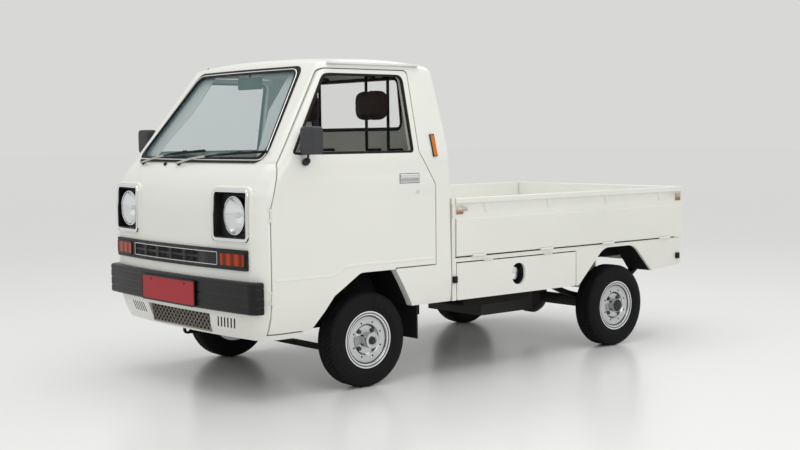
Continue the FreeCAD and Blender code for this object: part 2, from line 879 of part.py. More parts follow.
def make_nose_pieces():
    """Lamp bezels, lamps, grille band, turn signals and the mesh of the inlet."""
    far = NOSE - S.overrun
    deep = FACE + S.cowl_setback + S.cab_wall
    bezels, lamps, signals = [], [], []
    for hand in (1, -1):
        bezels.append(lamp_bezel(hand))
        lamps.append(headlamp(hand))
        low, high = sorted((hand * S.signal_inner_half, hand * S.signal_outer_half))
        corners = [
            (low, S.signal_bottom, S.grille_rib),
            (high, S.signal_bottom, S.grille_rib),
            (high, S.signal_top, S.grille_rib),
            (low, S.signal_top, S.grille_rib),
        ]
        signals.append(one(layer(front_prism(corners, far, deep), S.signal_proud, -S.grille_proud)))
    place("headlamp_bezels", Part.makeCompound(bezels))
    place("headlamps", Part.makeCompound(lamps))
    y = NOSE + S.marker_setback
    half = S.marker_width / 2
    corners = [
        (y - half, S.marker_bottom, half / 2),
        (y + half, S.marker_bottom, half / 2),
        (y + half - S.marker_width / 3, S.marker_top, half / 2),
        (y - half - S.marker_width / 3, S.marker_top, half / 2),
    ]
    marker = one(layer(side_prism(corners, SIDE / 2, SIDE + S.overrun), S.marker_proud, -S.seat_gap))
    place("amber_lamps", Part.makeCompound(signals + [marker, mirrored(marker)]))
    corners = [
        (-S.grille_half, S.grille_bottom, S.grille_rib),
        (S.grille_half, S.grille_bottom, S.grille_rib),
        (S.grille_half, S.grille_top, S.grille_rib),
        (-S.grille_half, S.grille_top, S.grille_rib),
    ]
    band = one(layer(front_prism(corners, far, deep), S.grille_proud, -S.seat_gap).cut(band_slots()))
    place("front_grilles", Part.makeCompound([band, inlet_mesh()]))


def headlamp(hand):
    """Round lamp: a crowned lens in front of a bowl, turned about its own axis."""
    bow = S.lamp_half_spacing ** 2 / (2 * S.cab_face_bow_radius)
    front = FACE + bow + S.lamp_sunk
    back = front + S.lamp_depth
    edge = S.lamp_radius

    def at(r, y):
        return Vector(r, y, 0)

    ball = (edge ** 2 + S.lamp_crown ** 2) / (2 * S.lamp_crown)
    middle = at(edge / 2, front - S.lamp_crown + ball - math.sqrt(ball ** 2 - edge ** 2 / 4))
    edges = [arc(at(0, front - S.lamp_crown), middle, at(edge, front))]
    edges.append(line(at(edge, front), at(edge, front + S.lamp_crown)))
    edges.append(line(at(edge, front + S.lamp_crown), at(edge / 2, back)))
    edges.append(line(at(edge / 2, back), at(0, back)))
    edges.append(line(at(0, back), at(0, front - S.lamp_crown)))
    lamp = Part.Face(Part.Wire(edges)).revolve(Vector(0, 0, 0), Vector(0, 1, 0), 360)
    lamp.translate(Vector(hand * S.lamp_half_spacing, 0, S.lamp_height))
    return lamp


def inlet_mesh():
    """Diagonal bars in a frame, set into the inlet."""
    bow_front = FACE + S.cab_tuck_front * 0.4
    front = bow_front + S.cab_wall / 2
    back = front + 2 * S.inlet_bar
    frame = front_prism(inlet_corners(S.seat_gap), front, back)
    hollow = front_prism(inlet_corners(S.seat_gap + 2 * S.inlet_bar), front, back)
    rise = S.inlet_top - S.inlet_bottom
    bars = []
    count = int(2 * S.inlet_top_half / S.inlet_pitch) + 4
    start = -S.inlet_top_half - rise
    for index in range(count + 3):
        x = start + index * S.inlet_pitch
        for lean in (rise, -rise):
            foot = x if lean > 0 else x + rise
            corners = [
                (foot, S.inlet_bottom, 0),
                (foot + 1.4 * S.inlet_bar, S.inlet_bottom, 0),
                (foot + 1.4 * S.inlet_bar + lean, S.inlet_top, 0),
                (foot + lean, S.inlet_top, 0),
            ]
            bars.append(front_prism(corners, front, back))
    lattice = bars[0].fuse(bars[1:]).common(hollow)
    return one(frame.cut(hollow).fuse(lattice))


def make_bumper():
    """Bumper: a bowed, grooved bar that wraps round to the front of the doors."""
    half = SIDE
    face = NOSE + S.plate_thick
    end = NOSE + S.bumper_side_setback
    corner = face + S.bumper_bow

    def at(x, y, z):
        return Vector(x, y, z)

    def bar(low, high, inset):
        left = at(half - inset, end, low)
        turn_radius = S.bumper_corner_radius
        diagonal = math.sqrt(0.5)
        left_low = at(half - inset, corner + turn_radius, low)
        left_mid = at(
            half - inset - turn_radius * (1 - diagonal),
            corner + inset + turn_radius * (1 - diagonal),
            low,
        )
        left_high = at(half - inset - turn_radius, corner + inset, low)
        front = at(0, face + inset, low)

        def flip(point):
            return Vector(-point.x, point.y, point.z)

        edges = [line(left, left_low), arc(left_low, left_mid, left_high)]
        edges.append(arc(left_high, front, flip(left_high)))
        edges.append(arc(flip(left_high), flip(left_mid), flip(left_low)))
        edges.append(line(flip(left_low), flip(left)))
        edges.append(line(flip(left), left))
        return Part.Face(Part.Wire(edges)).extrude(Vector(0, 0, high - low))

    height = S.bumper_top - S.bumper_bottom
    groove = S.bumper_groove
    full = bar(S.bumper_bottom, S.bumper_top, 0)
    for share in (0.22, 0.5, 0.78):
        low = S.bumper_bottom + height * share
        ring = bar(low, low + groove, 0).cut(bar(low, low + groove, groove / 2))
        full = full.cut(ring)
    full = full.cut(cab_form(-S.seat_gap))
    place("front_bumper", solids_of(full, 0.02))
    plate = span((-S.plate_half, S.plate_half), (NOSE, NOSE + S.plate_thick), (S.plate_bottom, S.plate_top))
    place("front_plate", plate)


# Cab inside


def floor_top():
    """Height of the footwell's upper face, on the frame rails."""
    return S.rail_front_top + S.seat_gap + S.floor_sheet


def make_cab_floor():
    """Bent floor sheet: footwell, riser and the deck under the seats."""
    front = FACE
    rear = NOSE + S.cab_back_foot
    step = NOSE + S.seat_deck_setback
    low, deck, sheet_thick = floor_top(), S.seat_deck_height, S.floor_sheet
    corners = [
        (front, low - sheet_thick, 0),
        (step, low - sheet_thick, S.grille_rib),
        (step, deck - sheet_thick, S.grille_rib + sheet_thick),
        (rear, deck - sheet_thick, 0),
        (rear, deck, 0),
        (step - sheet_thick, deck, S.grille_rib + sheet_thick),
        (step - sheet_thick, low, S.grille_rib),
        (front, low, 0),
    ]
    floor = side_prism(corners, -SIDE, SIDE)
    place("cab_floor", one(floor.common(cab_form(S.cab_wall + S.panel_gap))))


def make_seats():
    """Two seat cushions, two seat backs and two headrests on their bars."""
    front = NOSE + S.cushion_front_setback
    rear = front + S.cushion_length
    deck = S.seat_deck_height
    cushion = side_prism(
        [
            (front, deck + S.seat_gap, S.grille_rib),
            (rear, deck + S.seat_gap, 0),
            (rear, deck + S.cushion_height * 0.85, 0),
            (front, deck + S.cushion_height, S.cushion_height / 3),
        ],
        S.cushion_inner,
        S.cushion_outer,
    )
    wall = NOSE + S.cab_back_foot - S.cab_wall - S.cab_back_lean
    foot = rear + S.seat_gap
    back_top = deck + S.cushion_height + S.back_height
    back = side_prism(
        [
            (foot, deck + S.seat_gap, 0),
            (foot + S.back_thick, deck + S.seat_gap, 0),
            (wall - S.seat_gap, back_top - S.back_height / 3, 0),
            (wall - S.seat_gap, back_top, S.back_thick / 3),
            (wall - S.seat_gap - S.back_thick, back_top, S.back_thick / 3),
        ],
        S.cushion_inner,
        S.cushion_outer,
    ).common(cab_form(S.cab_wall + S.seat_gap))
    place("seats", Part.makeCompound([cushion, back, mirrored(cushion), mirrored(back)]))
    lean_top = NOSE + S.cab_back_foot - S.cab_wall - S.cab_back_top_lean
    bar_y = lean_top - S.bar_stand_off + S.bar_radius
    rests, bars = [], []
    for hand in (1, -1):
        centre = hand * S.headrest_half_spacing
        x = (centre - S.headrest_half_width, centre + S.headrest_half_width)
        y = (bar_y - S.bar_radius - S.seat_gap - S.headrest_thick, bar_y - S.bar_radius - S.seat_gap)
        rests.append(span(x, y, (S.headrest_bottom, S.headrest_top)))
        for offset in (-S.bar_half_spacing, S.bar_half_spacing):
            foot_point = Vector(centre + offset, bar_y, S.bar_bottom)
            top_point = Vector(centre + offset, bar_y, S.back_window_top + S.bar_radius)
            bars.append(headrest_bar(foot_point, top_point))
    place("headrests", Part.makeCompound(rests))
    place("headrest_bars", Part.makeCompound(bars))


def headrest_bar(foot, top):
    """Upright bar with a foot at each end that reaches the back wall."""
    bar = rod(S.bar_radius, foot, top)
    reach = Vector(0, S.overrun * 4, 0)
    ends = [rod(S.bar_radius, foot, foot + reach), rod(S.bar_radius, top, top + reach)]
    body = bar.fuse(ends)
    return one(body.common(cab_form(S.cab_wall + S.seat_gap)))


def make_dashboard():
    """Dashboard across the cab, hollowed under its brow."""
    front = FACE + S.cowl_setback + S.cab_wall
    corners = [
        (front, S.dash_bottom, 0),
        (front + S.dash_depth * 0.6, S.dash_bottom, S.grille_rib),
        (front + S.dash_depth * 0.75, S.dash_bottom + (S.dash_top - S.dash_bottom) * 0.45, S.grille_rib),
        (front + S.dash_depth, S.dash_top - S.grille_rib * 5, S.grille_rib * 3),
        (front + S.dash_depth * 0.9, S.dash_top, S.grille_rib * 3),
        (front, S.dash_top, 0),
    ]
    dash = side_prism(corners, -SIDE, SIDE)
    hinge_line = door_hinge_centres()[0]
    foot = Vector(hinge_line.x, hinge_line.y, S.dash_bottom)
    swing = rod(S.door_swing_room, foot, foot + Vector(0, 0, S.dash_top))
    dash = dash.common(cab_form(S.cab_wall + S.panel_gap)).cut([swing, mirrored(swing)])
    place("dashboard", one(dash))


def column_line():
    """Foot, hub and direction of the steering column."""
    foot = Vector(-S.wheel_column_half, NOSE + S.column_foot_setback, S.column_foot_height)
    hub = Vector(-S.wheel_column_half, NOSE + S.steering_hub_setback, S.steering_hub_height)
    along = hub - foot
    along.normalize()
    return foot, hub, along


def steering_ring():
    """Six-sided bar turned round the steering axis."""
    centre = Vector(S.steering_ring_radius, 0, 0)
    corners = []
    for index in range(6):
        angle = math.radians(60) * index
        corners.append(centre + Vector(math.cos(angle), 0, math.sin(angle)) * S.steering_ring_thick)
    face = Part.Face(Part.makePolygon(corners + corners[:1]))
    return face.revolve(Vector(0, 0, 0), Vector(0, 0, 1), 360)


def make_steering():
    """Column tube with a pin at its top, and the steering wheel turning on the pin."""
    foot, hub, along = column_line()
    depth = 2 * S.column_radius
    top = hub - along * depth
    tube = rod(S.column_radius, foot, top)
    pin = rod(S.column_pin_radius, top, hub - along * S.seat_gap)
    column = tube.fuse(pin).common(cab_form(S.cab_wall + S.seat_gap))
    below = span((-SIDE, SIDE), (NOSE, TAIL), (0, floor_top() + S.seat_gap))
    column = column.cut(below)
    place("steering_column", one(column.cut(PIECES["dashboard"].Shape)))
    ring = steering_ring()
    boss = Part.makeCylinder(S.column_radius * 1.5, depth, Vector(0, 0, -depth + S.seat_gap * 2))
    bore = Part.makeCylinder(S.column_pin_radius + S.pin_gap, depth, Vector(0, 0, -depth))
    spokes = []
    for angle in (20, 160, 270):
        spoke = span((0, S.steering_ring_radius), (-S.column_radius / 2, S.column_radius / 2), (-S.grille_rib, 0))
        spoke.rotate(Vector(0, 0, 0), Vector(0, 0, 1), angle)
        spokes.append(spoke)
    wheel = ring.fuse([boss] + spokes).cut(bore)
    turn = FreeCAD.Rotation(Vector(0, 0, 1), along)
    wheel.Placement = FreeCAD.Placement(hub, turn)
    place("steering_wheel", wheel)


def make_cabin_mirror():
    """Inside mirror on a short stalk under the header."""
    front = screen_line(S.cabin_mirror_bottom) + 2 * S.cab_wall
    low = S.cabin_mirror_bottom
    y = (front, front + S.cabin_mirror_thick)
    head = span((-S.cabin_mirror_half, S.cabin_mirror_half), y, (low, low + S.cabin_mirror_height))
    stalk_foot = Vector(0, front + S.cabin_mirror_thick / 2, low + S.cabin_mirror_height / 2)
    stalk_top = Vector(0, front + S.cabin_mirror_thick / 2, S.roof_height)
    stalk = rod(S.mirror_arm_radius, stalk_foot, stalk_top).common(cab_form(S.cab_wall + S.seat_gap))
    place("cabin_mirror", one(head.fuse(stalk)))


# Outside fittings of the cab


def make_mirrors():
    """A mirror on each door: a head on a bent arm that is bolted to the door."""
    y = NOSE + S.mirror_setback
    low, high = S.mirror_bottom, S.mirror_bottom + S.mirror_height
    inner = S.mirror_centre_half - S.mirror_width / 2
    outer = S.mirror_centre_half + S.mirror_width / 2
    radius = S.mirror_thick / 2
    head = front_prism(
        [(inner, low, radius), (outer, low, radius), (outer, high, radius), (inner, high, radius)],
        y - S.mirror_thick / 2,
        y + S.mirror_thick / 2,
    )
    foot = Vector(SIDE + S.mirror_arm_radius / 2, y, low - S.mirror_thick)
    elbow = Vector(S.mirror_centre_half, y, low - S.mirror_thick)
    tip = Vector(S.mirror_centre_half, y, low + S.mirror_thick)
    arm = rod(S.mirror_arm_radius, foot, elbow).fuse(rod(S.mirror_arm_radius, elbow, tip))
    pad_size = S.mirror_thick / 2
    pad = span(
        (SIDE - S.cab_wall / 2, SIDE + S.mirror_arm_radius),
        (y - 2 * pad_size, y + 2 * pad_size),
        (foot.z - pad_size, foot.z + pad_size),
    ).cut(cab_form(-S.seat_gap))
    knob = Part.makeSphere(S.mirror_arm_radius, elbow)
    left = one(head.fuse([arm, pad, knob]))
    place("mirror_left", left)
    place("mirror_right", mirrored(left))


def make_wipers():
    """Two parked wipers lying on the windscreen's rubber."""
    wipers = []
    lift = S.screen_rubber_proud + S.seat_gap
    low = S.wiper_height
    for start in (-S.screen_bottom_half + S.wiper_length / 4, S.wiper_length / 8):
        corners = [
            (start, low - S.wiper_lift, 0),
            (start + S.wiper_arm_width, low - S.wiper_lift, 0),
            (start + S.wiper_length, low + S.wiper_lift, 0),
            (start + S.wiper_length, low + S.wiper_lift + S.wiper_arm_width, 0),
            (start, low - S.wiper_lift + S.wiper_arm_width, 0),
        ]
        blade = front_prism(corners, NOSE - S.overrun, FRONT_AXLE)
        wipers.append(one(layer(blade, lift + S.wiper_arm_thick, -lift)))
    place("wipers", Part.makeCompound(wipers))


# Load bed


def bed_front():
    return NOSE + S.bed_front_setback


def bed_rear():
    return TAIL - S.bed_rear_setback


def make_bed_floor():
    """Ribbed floor plate between the gates, on side sills."""
    half = SIDE - S.gate_thick - S.panel_gap - S.pin_gap
    top, thick = S.bed_floor_top, S.bed_floor_thick
    rib = S.bed_rib_height
    points = [(-half, top - thick, 0), (half, top - thick, 0), (half, top, 0)]
    count = int(2 * half / S.bed_rib_pitch)
    start = count * S.bed_rib_pitch / 2
    for index in range(count):
        right = start - index * S.bed_rib_pitch
        left = right - S.bed_rib_width
        slope = rib / 2
        points += [(right, top, 0), (right - slope, top - rib, 0), (left + slope, top - rib, 0), (left, top, 0)]
    points.append((-half, top, 0))
    front = bed_front() + S.headboard_thick + S.seat_gap
    rear = bed_rear() - S.gate_thick - S.panel_gap
    place("bed_floor", front_prism(points, front, rear))


def apron_corners():
    """Side apron outline, from its top edge round the rear wheel arch."""
    top = S.apron_top
    rear = bed_rear() - S.rear_panel_setin - S.seat_gap
    flap_start = NOSE + S.flap_front_setback - S.panel_gap
    flap_end = NOSE + S.flap_rear_setback + S.panel_gap
    return [
        (bed_front(), top, 0),
        (bed_front(), S.flap_bottom, 0),
        (flap_start, S.flap_bottom, 0),
        (flap_start, S.flap_top + S.panel_gap, 0),
        (flap_end, S.flap_top + S.panel_gap, 0),
        (flap_end, S.flap_bottom, 0),
        (REAR_AXLE - S.rear_arch_front_reach, S.rear_arch_front_height, 0),
        (REAR_AXLE - S.rear_arch_top_front_reach, S.rear_arch_height, 120),
        (REAR_AXLE + S.rear_arch_top_rear_reach, S.rear_arch_height, 120),
        (REAR_AXLE + S.rear_arch_rear_reach, S.rear_arch_rear_height, 0),
        (rear, S.apron_rear_bottom, 0),
        (rear, top, 0),
    ]


def make_aprons():
    """Painted skirts below the gates, and the rear panel between them."""
    outer = SIDE - S.apron_setin
    left = side_prism(apron_corners(), outer - S.apron_thick, outer)
    right_extra = span(
        (outer - S.apron_thick, outer),
        (bed_front(), NOSE + S.flap_rear_setback + S.panel_gap),
        (S.flap_bottom, S.flap_top + S.panel_gap),
    )
    right = mirrored(one(left.fuse(right_extra).removeSplitter()))
    rear = bed_rear() - S.rear_panel_setin
    panel = span((-outer, outer), (rear, rear + S.rear_panel_thick), (S.rear_panel_bottom, S.apron_top))
    for fixed, _, room in flap_hinge_sets():
        left = left.cut([room, fixed])
    place("bed_aprons", Part.makeCompound([one(left), right, panel]))
    lamps = span(
        (S.tail_lamp_outer - S.tail_lamp_width, S.tail_lamp_outer),
        (rear + S.rear_panel_thick + S.seat_gap, rear + S.rear_panel_thick + S.tail_lamp_proud),
        (S.tail_lamp_bottom, S.tail_lamp_top),
    )
    place("tail_lamps", both(lamps))


def make_headboard():
    """Fixed front board of the bed."""
    half = SIDE - S.apron_setin
    front = bed_front()
    y = (front, front + S.headboard_thick)
    board = span((-half, half), y, (S.apron_top, S.gate_top))
    slot_height = S.gate_recess_height
    recess = span(
        (-half - S.overrun, half + S.overrun),
        (front - S.overrun, front + S.gate_recess_depth / 2),
        (S.gate_top - S.gate_rail_height - slot_height, S.gate_top - S.gate_rail_height),
    )
    place("headboard", board.cut(recess))


def gate_section(outer, inward):
    """Section of a gate: flat skin, inset band and top rail, as (across, height) corners."""
    inner = outer - inward * S.gate_thick
    recess = outer - inward * S.gate_recess_depth
    rail = S.gate_top - S.gate_rail_height
    band = rail - S.gate_recess_height
    step = S.gate_recess_depth / 2
    return [
        (inner, S.gate_bottom, 0),
        (outer, S.gate_bottom, 0),
        (outer, band - step, 0),
        (recess, band, 0),
        (recess, rail - step, 0),
        (outer, rail, 0),
        (outer, S.gate_top, step),
        (inner, S.gate_top, step),
    ]


def hinge(centre, along, outward, carrier, hung, size):
    """One barrel hinge: fixed lugs with a pin, the hung barrel, and the room they need.

    carrier and hung are directions from the pin towards what holds and what hangs,
    size is (barrel radius, pin radius, length, reach of the straps).
    """
    radius, pin_radius, length, reach = size
    half = length / 2
    third = half * 0.45
    start, end = centre - along * half, centre + along * half
    pin = rod(pin_radius, start, end)
    lug_a = rod(radius, start, centre - along * third)
    lug_b = rod(radius, centre + along * third, end)
    low, high = centre - along * (third - S.pin_gap), centre + along * (third - S.pin_gap)
    barrel = rod(radius, low, high)
    straps = [
        strap(centre, along, outward, carrier, (third, half), size),
        strap(centre, along, outward, carrier, (-half, -third), size),
    ]
    fixed = one(pin.fuse([lug_a, lug_b] + straps))
    tongue = strap(centre, along, outward, hung, (-third + S.pin_gap, third - S.pin_gap), size)
    bore = rod(pin_radius + S.pin_gap, start, end)
    moving = one(barrel.fuse(tongue).cut(bore))
    room = rod(radius + S.pin_gap * 5, start - along * S.pin_gap * 5, end + along * S.pin_gap * 5)
    return fixed, moving, room


def strap(centre, along, outward, direction, limits, size):
    """Flat strap on the inner side of a barrel, reaching away from the pin."""
    radius, pin_radius, _, reach = size
    near = centre + along * limits[0] - outward * radius
    far = centre + along * limits[1] - outward * (pin_radius + S.pin_gap) + direction * reach
    x, y, z = sorted((near.x, far.x)), sorted((near.y, far.y)), sorted((near.z, far.z))
    return span(x, y, z)


def make_gates():
    """Side gates and tailgate, each hung on barrels along its bottom edge."""
    size = (S.hinge_radius, S.hinge_pin_radius, S.hinge_length, S.hinge_reach)
    up, down = Vector(0, 0, 1), Vector(0, 0, -1)
    front = bed_front() + S.headboard_thick + S.gate_end_gap
    rear = bed_rear()
    gate = front_prism(gate_section(SIDE, 1), front, rear)
    half = S.gusset_width / 2
    high = S.gate_top - S.gate_rail_height
    for index in range(4):
        y = NOSE + S.gusset_first_setback + index * S.gusset_pitch
        x = (SIDE - S.gate_recess_depth, SIDE - S.panel_gap / 3)
        gate = gate.fuse(span(x, (y - half, y + half), (high - S.gusset_height, high)))
    rooms, tongues, fixed_sets = [], [], []
    first = NOSE + S.hinge_first_setback
    for index in range(4):
        centre = Vector(SIDE, first + index * S.hinge_pitch, S.hinge_height)
        fixed, moving, room = hinge(centre, Vector(0, 1, 0), Vector(1, 0, 0), down, up, size)
        fixed_sets.append(trim_above(fixed))
        rooms.append(room)
        tongues.append(moving)
    left = one(gate.cut(rooms).fuse(tongues))
    place("side_gate_left", left)
    place("side_gate_right", mirrored(left))
    HINGES.extend(fixed_sets + [mirrored(fixed) for fixed in fixed_sets])
    half = SIDE - S.gate_thick - S.panel_gap
    tail = side_prism(gate_section(rear, 1), -half, half)
    rooms, tongues = [], []
    for index in (-1, 0, 1):
        centre = Vector(index * S.tail_hinge_pitch, rear, S.hinge_height)
        fixed, moving, room = hinge(centre, Vector(1, 0, 0), Vector(0, 1, 0), down, up, size)
        HINGES.append(fixed)
        rooms.append(room)
        tongues.append(moving)
    place("tailgate", one(tail.cut(rooms).fuse(tongues)))


def trim_above(shape):
    """Leaves out what would reach below the top of the aprons."""
    below = span((0, SIDE + S.overrun), (NOSE, TAIL), (0, S.apron_top + S.seat_gap))
    return one(shape.cut(below))


def flap_hinge_sets():
    """The two barrel hinges in the gap above the service flap."""
    size = (S.small_hinge_radius, S.small_pin_radius, S.small_hinge_length, S.small_hinge_reach)
    up, down = Vector(0, 0, 1), Vector(0, 0, -1)
    sets = []
    for index in (0, 1):
        y = NOSE + S.flap_hinge_first + index * S.flap_hinge_pitch
        centre = Vector(SIDE - S.apron_setin, y, S.flap_top + S.panel_gap / 2)
        sets.append(hinge(centre, Vector(0, 1, 0), Vector(1, 0, 0), up, down, size))
    return sets


def make_service_flap():
    """Flap over the filler, hinged along its top edge, with the oval filler hole."""
    outer = SIDE - S.apron_setin
    inner = outer - S.flap_thick
    front = NOSE + S.flap_front_setback
    rear = NOSE + S.flap_rear_setback
    radius = S.grille_rib * 2
    corners = [
        (front, S.flap_bottom, radius),
        (rear, S.flap_bottom, radius),
        (rear, S.flap_top, 0),
        (front, S.flap_top, 0),
    ]
    flap = side_prism(corners, inner, outer)
    y, z = NOSE + S.filler_setback, S.filler_height
    half_w, half_h = S.filler_half_width, S.filler_half_height
    hole_radius = half_w * 0.9
    hole = [
        (y - half_w, z - half_h, hole_radius),
        (y + half_w, z - half_h, hole_radius),
        (y + half_w, z + half_h, hole_radius),
        (y - half_w, z + half_h, hole_radius),
    ]
    flap = flap.cut(side_prism(hole, inner - S.overrun, outer + S.overrun))
    for fixed, moving, room in flap_hinge_sets():
        HINGES.append(fixed)
        flap = flap.cut(room).fuse(moving)
    place("service_flap", one(flap))
    back = inner - S.panel_gap
    deep = back - S.filler_depth
    wall = S.seat_gap * 10
    cup = side_prism(hole, deep, back)
    inside = [
        (y - half_w + wall, z - half_h + wall, hole_radius - wall),
        (y + half_w - wall, z - half_h + wall, hole_radius - wall),
        (y + half_w - wall, z + half_h - wall, hole_radius - wall),
        (y - half_w + wall, z + half_h - wall, hole_radius - wall),
    ]
    cup = cup.cut(side_prism(inside, deep + wall, back + S.overrun))
    cap_foot = Vector(deep + wall + S.seat_gap, y, z)
    cap = rod(S.filler_cap_radius, cap_foot, cap_foot + Vector(S.filler_cap_length, 0, 0))
    neck = rod(S.filler_cap_radius * 0.7, Vector(S.tank_outer + S.seat_gap, y, z), Vector(deep + wall, y, z))
    place("fuel_filler", Part.makeCompound([one(cup.fuse(neck)), cap]))


def make_stops():
    """Rubber stops that the lowered gates rest on."""
    outer = SIDE - S.apron_setin
    half = S.stop_size / 2
    stops = []
    breadth = S.stop_width / 2
    for y in (bed_front() + S.stop_width / 2, bed_rear() - S.rear_panel_setin - S.stop_width):
        x = (outer + S.seat_gap, outer + S.stop_proud)
        stops.append(span(x, (y - breadth, y + breadth), (S.stop_height - half, S.stop_height + half)))
    place("gate_stops", Part.makeCompound(stops + [mirrored(stop) for stop in stops]))


# Frame, axles and masses under the floor


def make_frame():
    """Two rails that climb behind the cab, and the beams across them."""
    front = FACE + S.cab_tuck_front + S.cab_wall + S.rail_front_end
    kick_low = NOSE + S.rail_kick_start
    kick_high = NOSE + S.rail_kick_end
    rear = bed_rear() - S.rail_rear_end
    corners = [
        (front, S.rail_front_bottom, 0),
        (kick_low, S.rail_front_bottom, S.rail_width),
        (kick_high, S.rail_rear_bottom, S.rail_width),
        (rear, S.rail_rear_bottom, 0),
        (rear, S.rail_rear_top, 0),
        (kick_high, S.rail_rear_top, S.rail_width),
        (kick_low, S.rail_front_top, S.rail_width),
        (front, S.rail_front_top, 0),
    ]
    half = S.rail_width / 2
    rail = side_prism(corners, S.rail_half - half, S.rail_half + half)
    place("frame_rails", both(rail))
    inner = S.rail_half - half
    beams = []
    low = (S.rail_front_bottom, S.rail_front_bottom + S.beam_thick)
    high = (S.rail_rear_top - S.beam_thick, S.rail_rear_top)
    for y, z in ((front + S.beam_width, low), (FRONT_AXLE, low), (kick_high + S.beam_width, high), (REAR_AXLE, high)):
        beams.append(span((-inner, inner), (y - S.beam_width / 2, y + S.beam_width / 2), z))
    engine_rear = REAR_AXLE - S.engine_rear_reach
    engine_front = engine_rear - S.engine_length
    for near, far in ((engine_front, -S.beam_width), (engine_rear, S.beam_width)):
        start = near + math.copysign(S.seat_gap, far)
        beams.append(span((-inner, inner), sorted((start, near + far)), high))
    last = rear - S.beam_width / 2
    beams.append(span((-inner, inner), (last - S.beam_width / 2, rear), high))
    place("cross_beams", Part.makeCompound(beams + outriggers()))


def outriggers():
    """Short beams from the rails out to the aprons, under the bed floor."""
    outer = SIDE - S.apron_setin - S.apron_thick
    inner = S.rail_half - S.rail_width / 2
    half = S.beam_width / 3
    top = S.bed_floor_top - S.bed_floor_thick - S.seat_gap
    riggers = []
    first = NOSE + S.hinge_first_setback
    for index in range(4):
        y = first + index * S.hinge_pitch
        riggers.append(span((-outer, outer), (y - half, y + half), (S.rail_rear_top + S.seat_gap, top)))
    return riggers


def make_front_suspension():
    """Lower arms, struts and the brackets that hold each kingpin."""
    y = FRONT_AXLE
    half = S.arm_width / 2
    inner = S.rail_half + S.rail_width / 2
    foot, top = S.kingpin_foot, S.kingpin_top
    link_low = foot - S.arm_thick
    cross = span((-S.kingpin_half, S.kingpin_half), (y - half, y + half), (link_low, foot - S.seat_gap))
    eye_start = Vector(S.kingpin_half, y, link_low)
    eye = rod(half, eye_start, Vector(S.kingpin_half, y, foot - S.seat_gap))
    post = span((inner - S.rail_width, inner), (y - half, y + half), (link_low, S.rail_front_bottom))
    bracket_low = top + S.seat_gap
    bracket = span((S.strut_half, S.kingpin_half), (y - half / 2, y + half / 2), (bracket_low, bracket_low + S.arm_thick))
    bracket_eye_start = Vector(S.kingpin_half, y, bracket_low)
    bracket_eye = rod(half / 2, bracket_eye_start, bracket_eye_start + Vector(0, 0, S.arm_thick))
    strut_foot = Vector(S.strut_half, y, bracket_low - S.arm_thick)
    strut = rod(S.strut_radius, strut_foot, Vector(S.strut_half, y, S.strut_top))
    tower = span(
        (inner - S.rail_width, S.strut_half + S.strut_radius),
        (y - S.strut_radius, y + S.strut_radius),
        (S.strut_top - S.beam_thick / 2, S.strut_top),
    )
    leg = span((inner - S.rail_width, inner), (y - half, y + half), (S.rail_front_top, S.strut_top))
    arm_set = cross.fuse([eye, mirrored(eye), post, mirrored(post)])
    strut_set = one(strut.fuse([bracket, bracket_eye, tower, leg]))
    place("front_suspension", Part.makeCompound([one(arm_set), strut_set, mirrored(strut_set)]))


def make_knuckle(name, hand):
    """Steering knuckle: kingpin post, stub axle and steering arm."""
    x, y = hand * S.kingpin_half, FRONT_AXLE
    post = rod(S.kingpin_radius, Vector(x, y, S.kingpin_foot), Vector(x, y, S.kingpin_top))
    stub_end = hand * (S.front_rim_half + S.hub_stand_out / 4)
    stub = rod(S.axle_radius, Vector(x, y, S.tyre_radius), Vector(stub_end, y, S.tyre_radius))
    arm_low = S.kingpin_foot + S.arm_thick
    arm_x = sorted((x, x - hand * S.arm_width * 1.6))
    arm = span(arm_x, (y, y + S.arm_width * 1.4), (arm_low, arm_low + S.arm_thick / 2))
    place(name, one(post.fuse([stub, arm])))


CASE_SHOULDER_SHARE = 0.85


def make_rear_axle():
    """Rear axle tube with its final drive and the two leaf springs."""
    y, z = REAR_AXLE, S.tyre_radius
    reach = S.rear_rim_half - S.hub_length - S.seat_gap
    stub_end = S.rear_rim_half - S.rear_hub_stand_out
    right_half = [
        (stub_end, 0),
        (stub_end, S.axle_radius),
        (reach, S.axle_radius),
        (reach, S.rear_tube_radius),
        (S.rear_case_radius, S.rear_tube_radius),
        (S.rear_case_radius / 2, S.rear_case_radius * CASE_SHOULDER_SHARE),
        (S.rear_case_radius / 4, S.rear_case_radius),
    ]
    profile = right_half + [(-x, r) for x, r in reversed(right_half)]
    points = [Vector(x, y, z + r) for x, r in profile]
    outline = Part.makePolygon(points + points[:1])
    place("rear_axle", Part.Face(outline).revolve(Vector(0, y, z), Vector(1, 0, 0), 360))
    half = S.spring_width / 2
    rise = S.rear_tube_radius + S.seat_gap
    ends = S.rail_rear_bottom - S.spring_thick - z - rise
    low = Vector(S.spring_half - half, y, z + rise)
    front = Vector(S.spring_half - half, y - S.spring_reach, z + rise + ends)
    back = Vector(S.spring_half - half, y + S.spring_reach, z + rise + ends)
    lift = Vector(0, 0, S.spring_thick)
    edges = [arc(front, low, back), line(back, back + lift)]
    edges += [arc(back + lift, low + lift, front + lift), line(front + lift, front)]
    leaf_pack = Part.Face(Part.Wire(edges)).extrude(Vector(S.spring_width, 0, 0))
    hangers = []
    for end in (front, back):
        hangers.append(
            span(
                (S.rail_half + S.rail_width / 2, S.spring_half + half),
                (end.y - half, end.y + half),
                (end.z + S.spring_thick / 2, S.rail_rear_bottom + S.beam_thick),
            )
        )
    spring = one(leaf_pack.fuse(hangers))
    place("leaf_springs", both(spring))


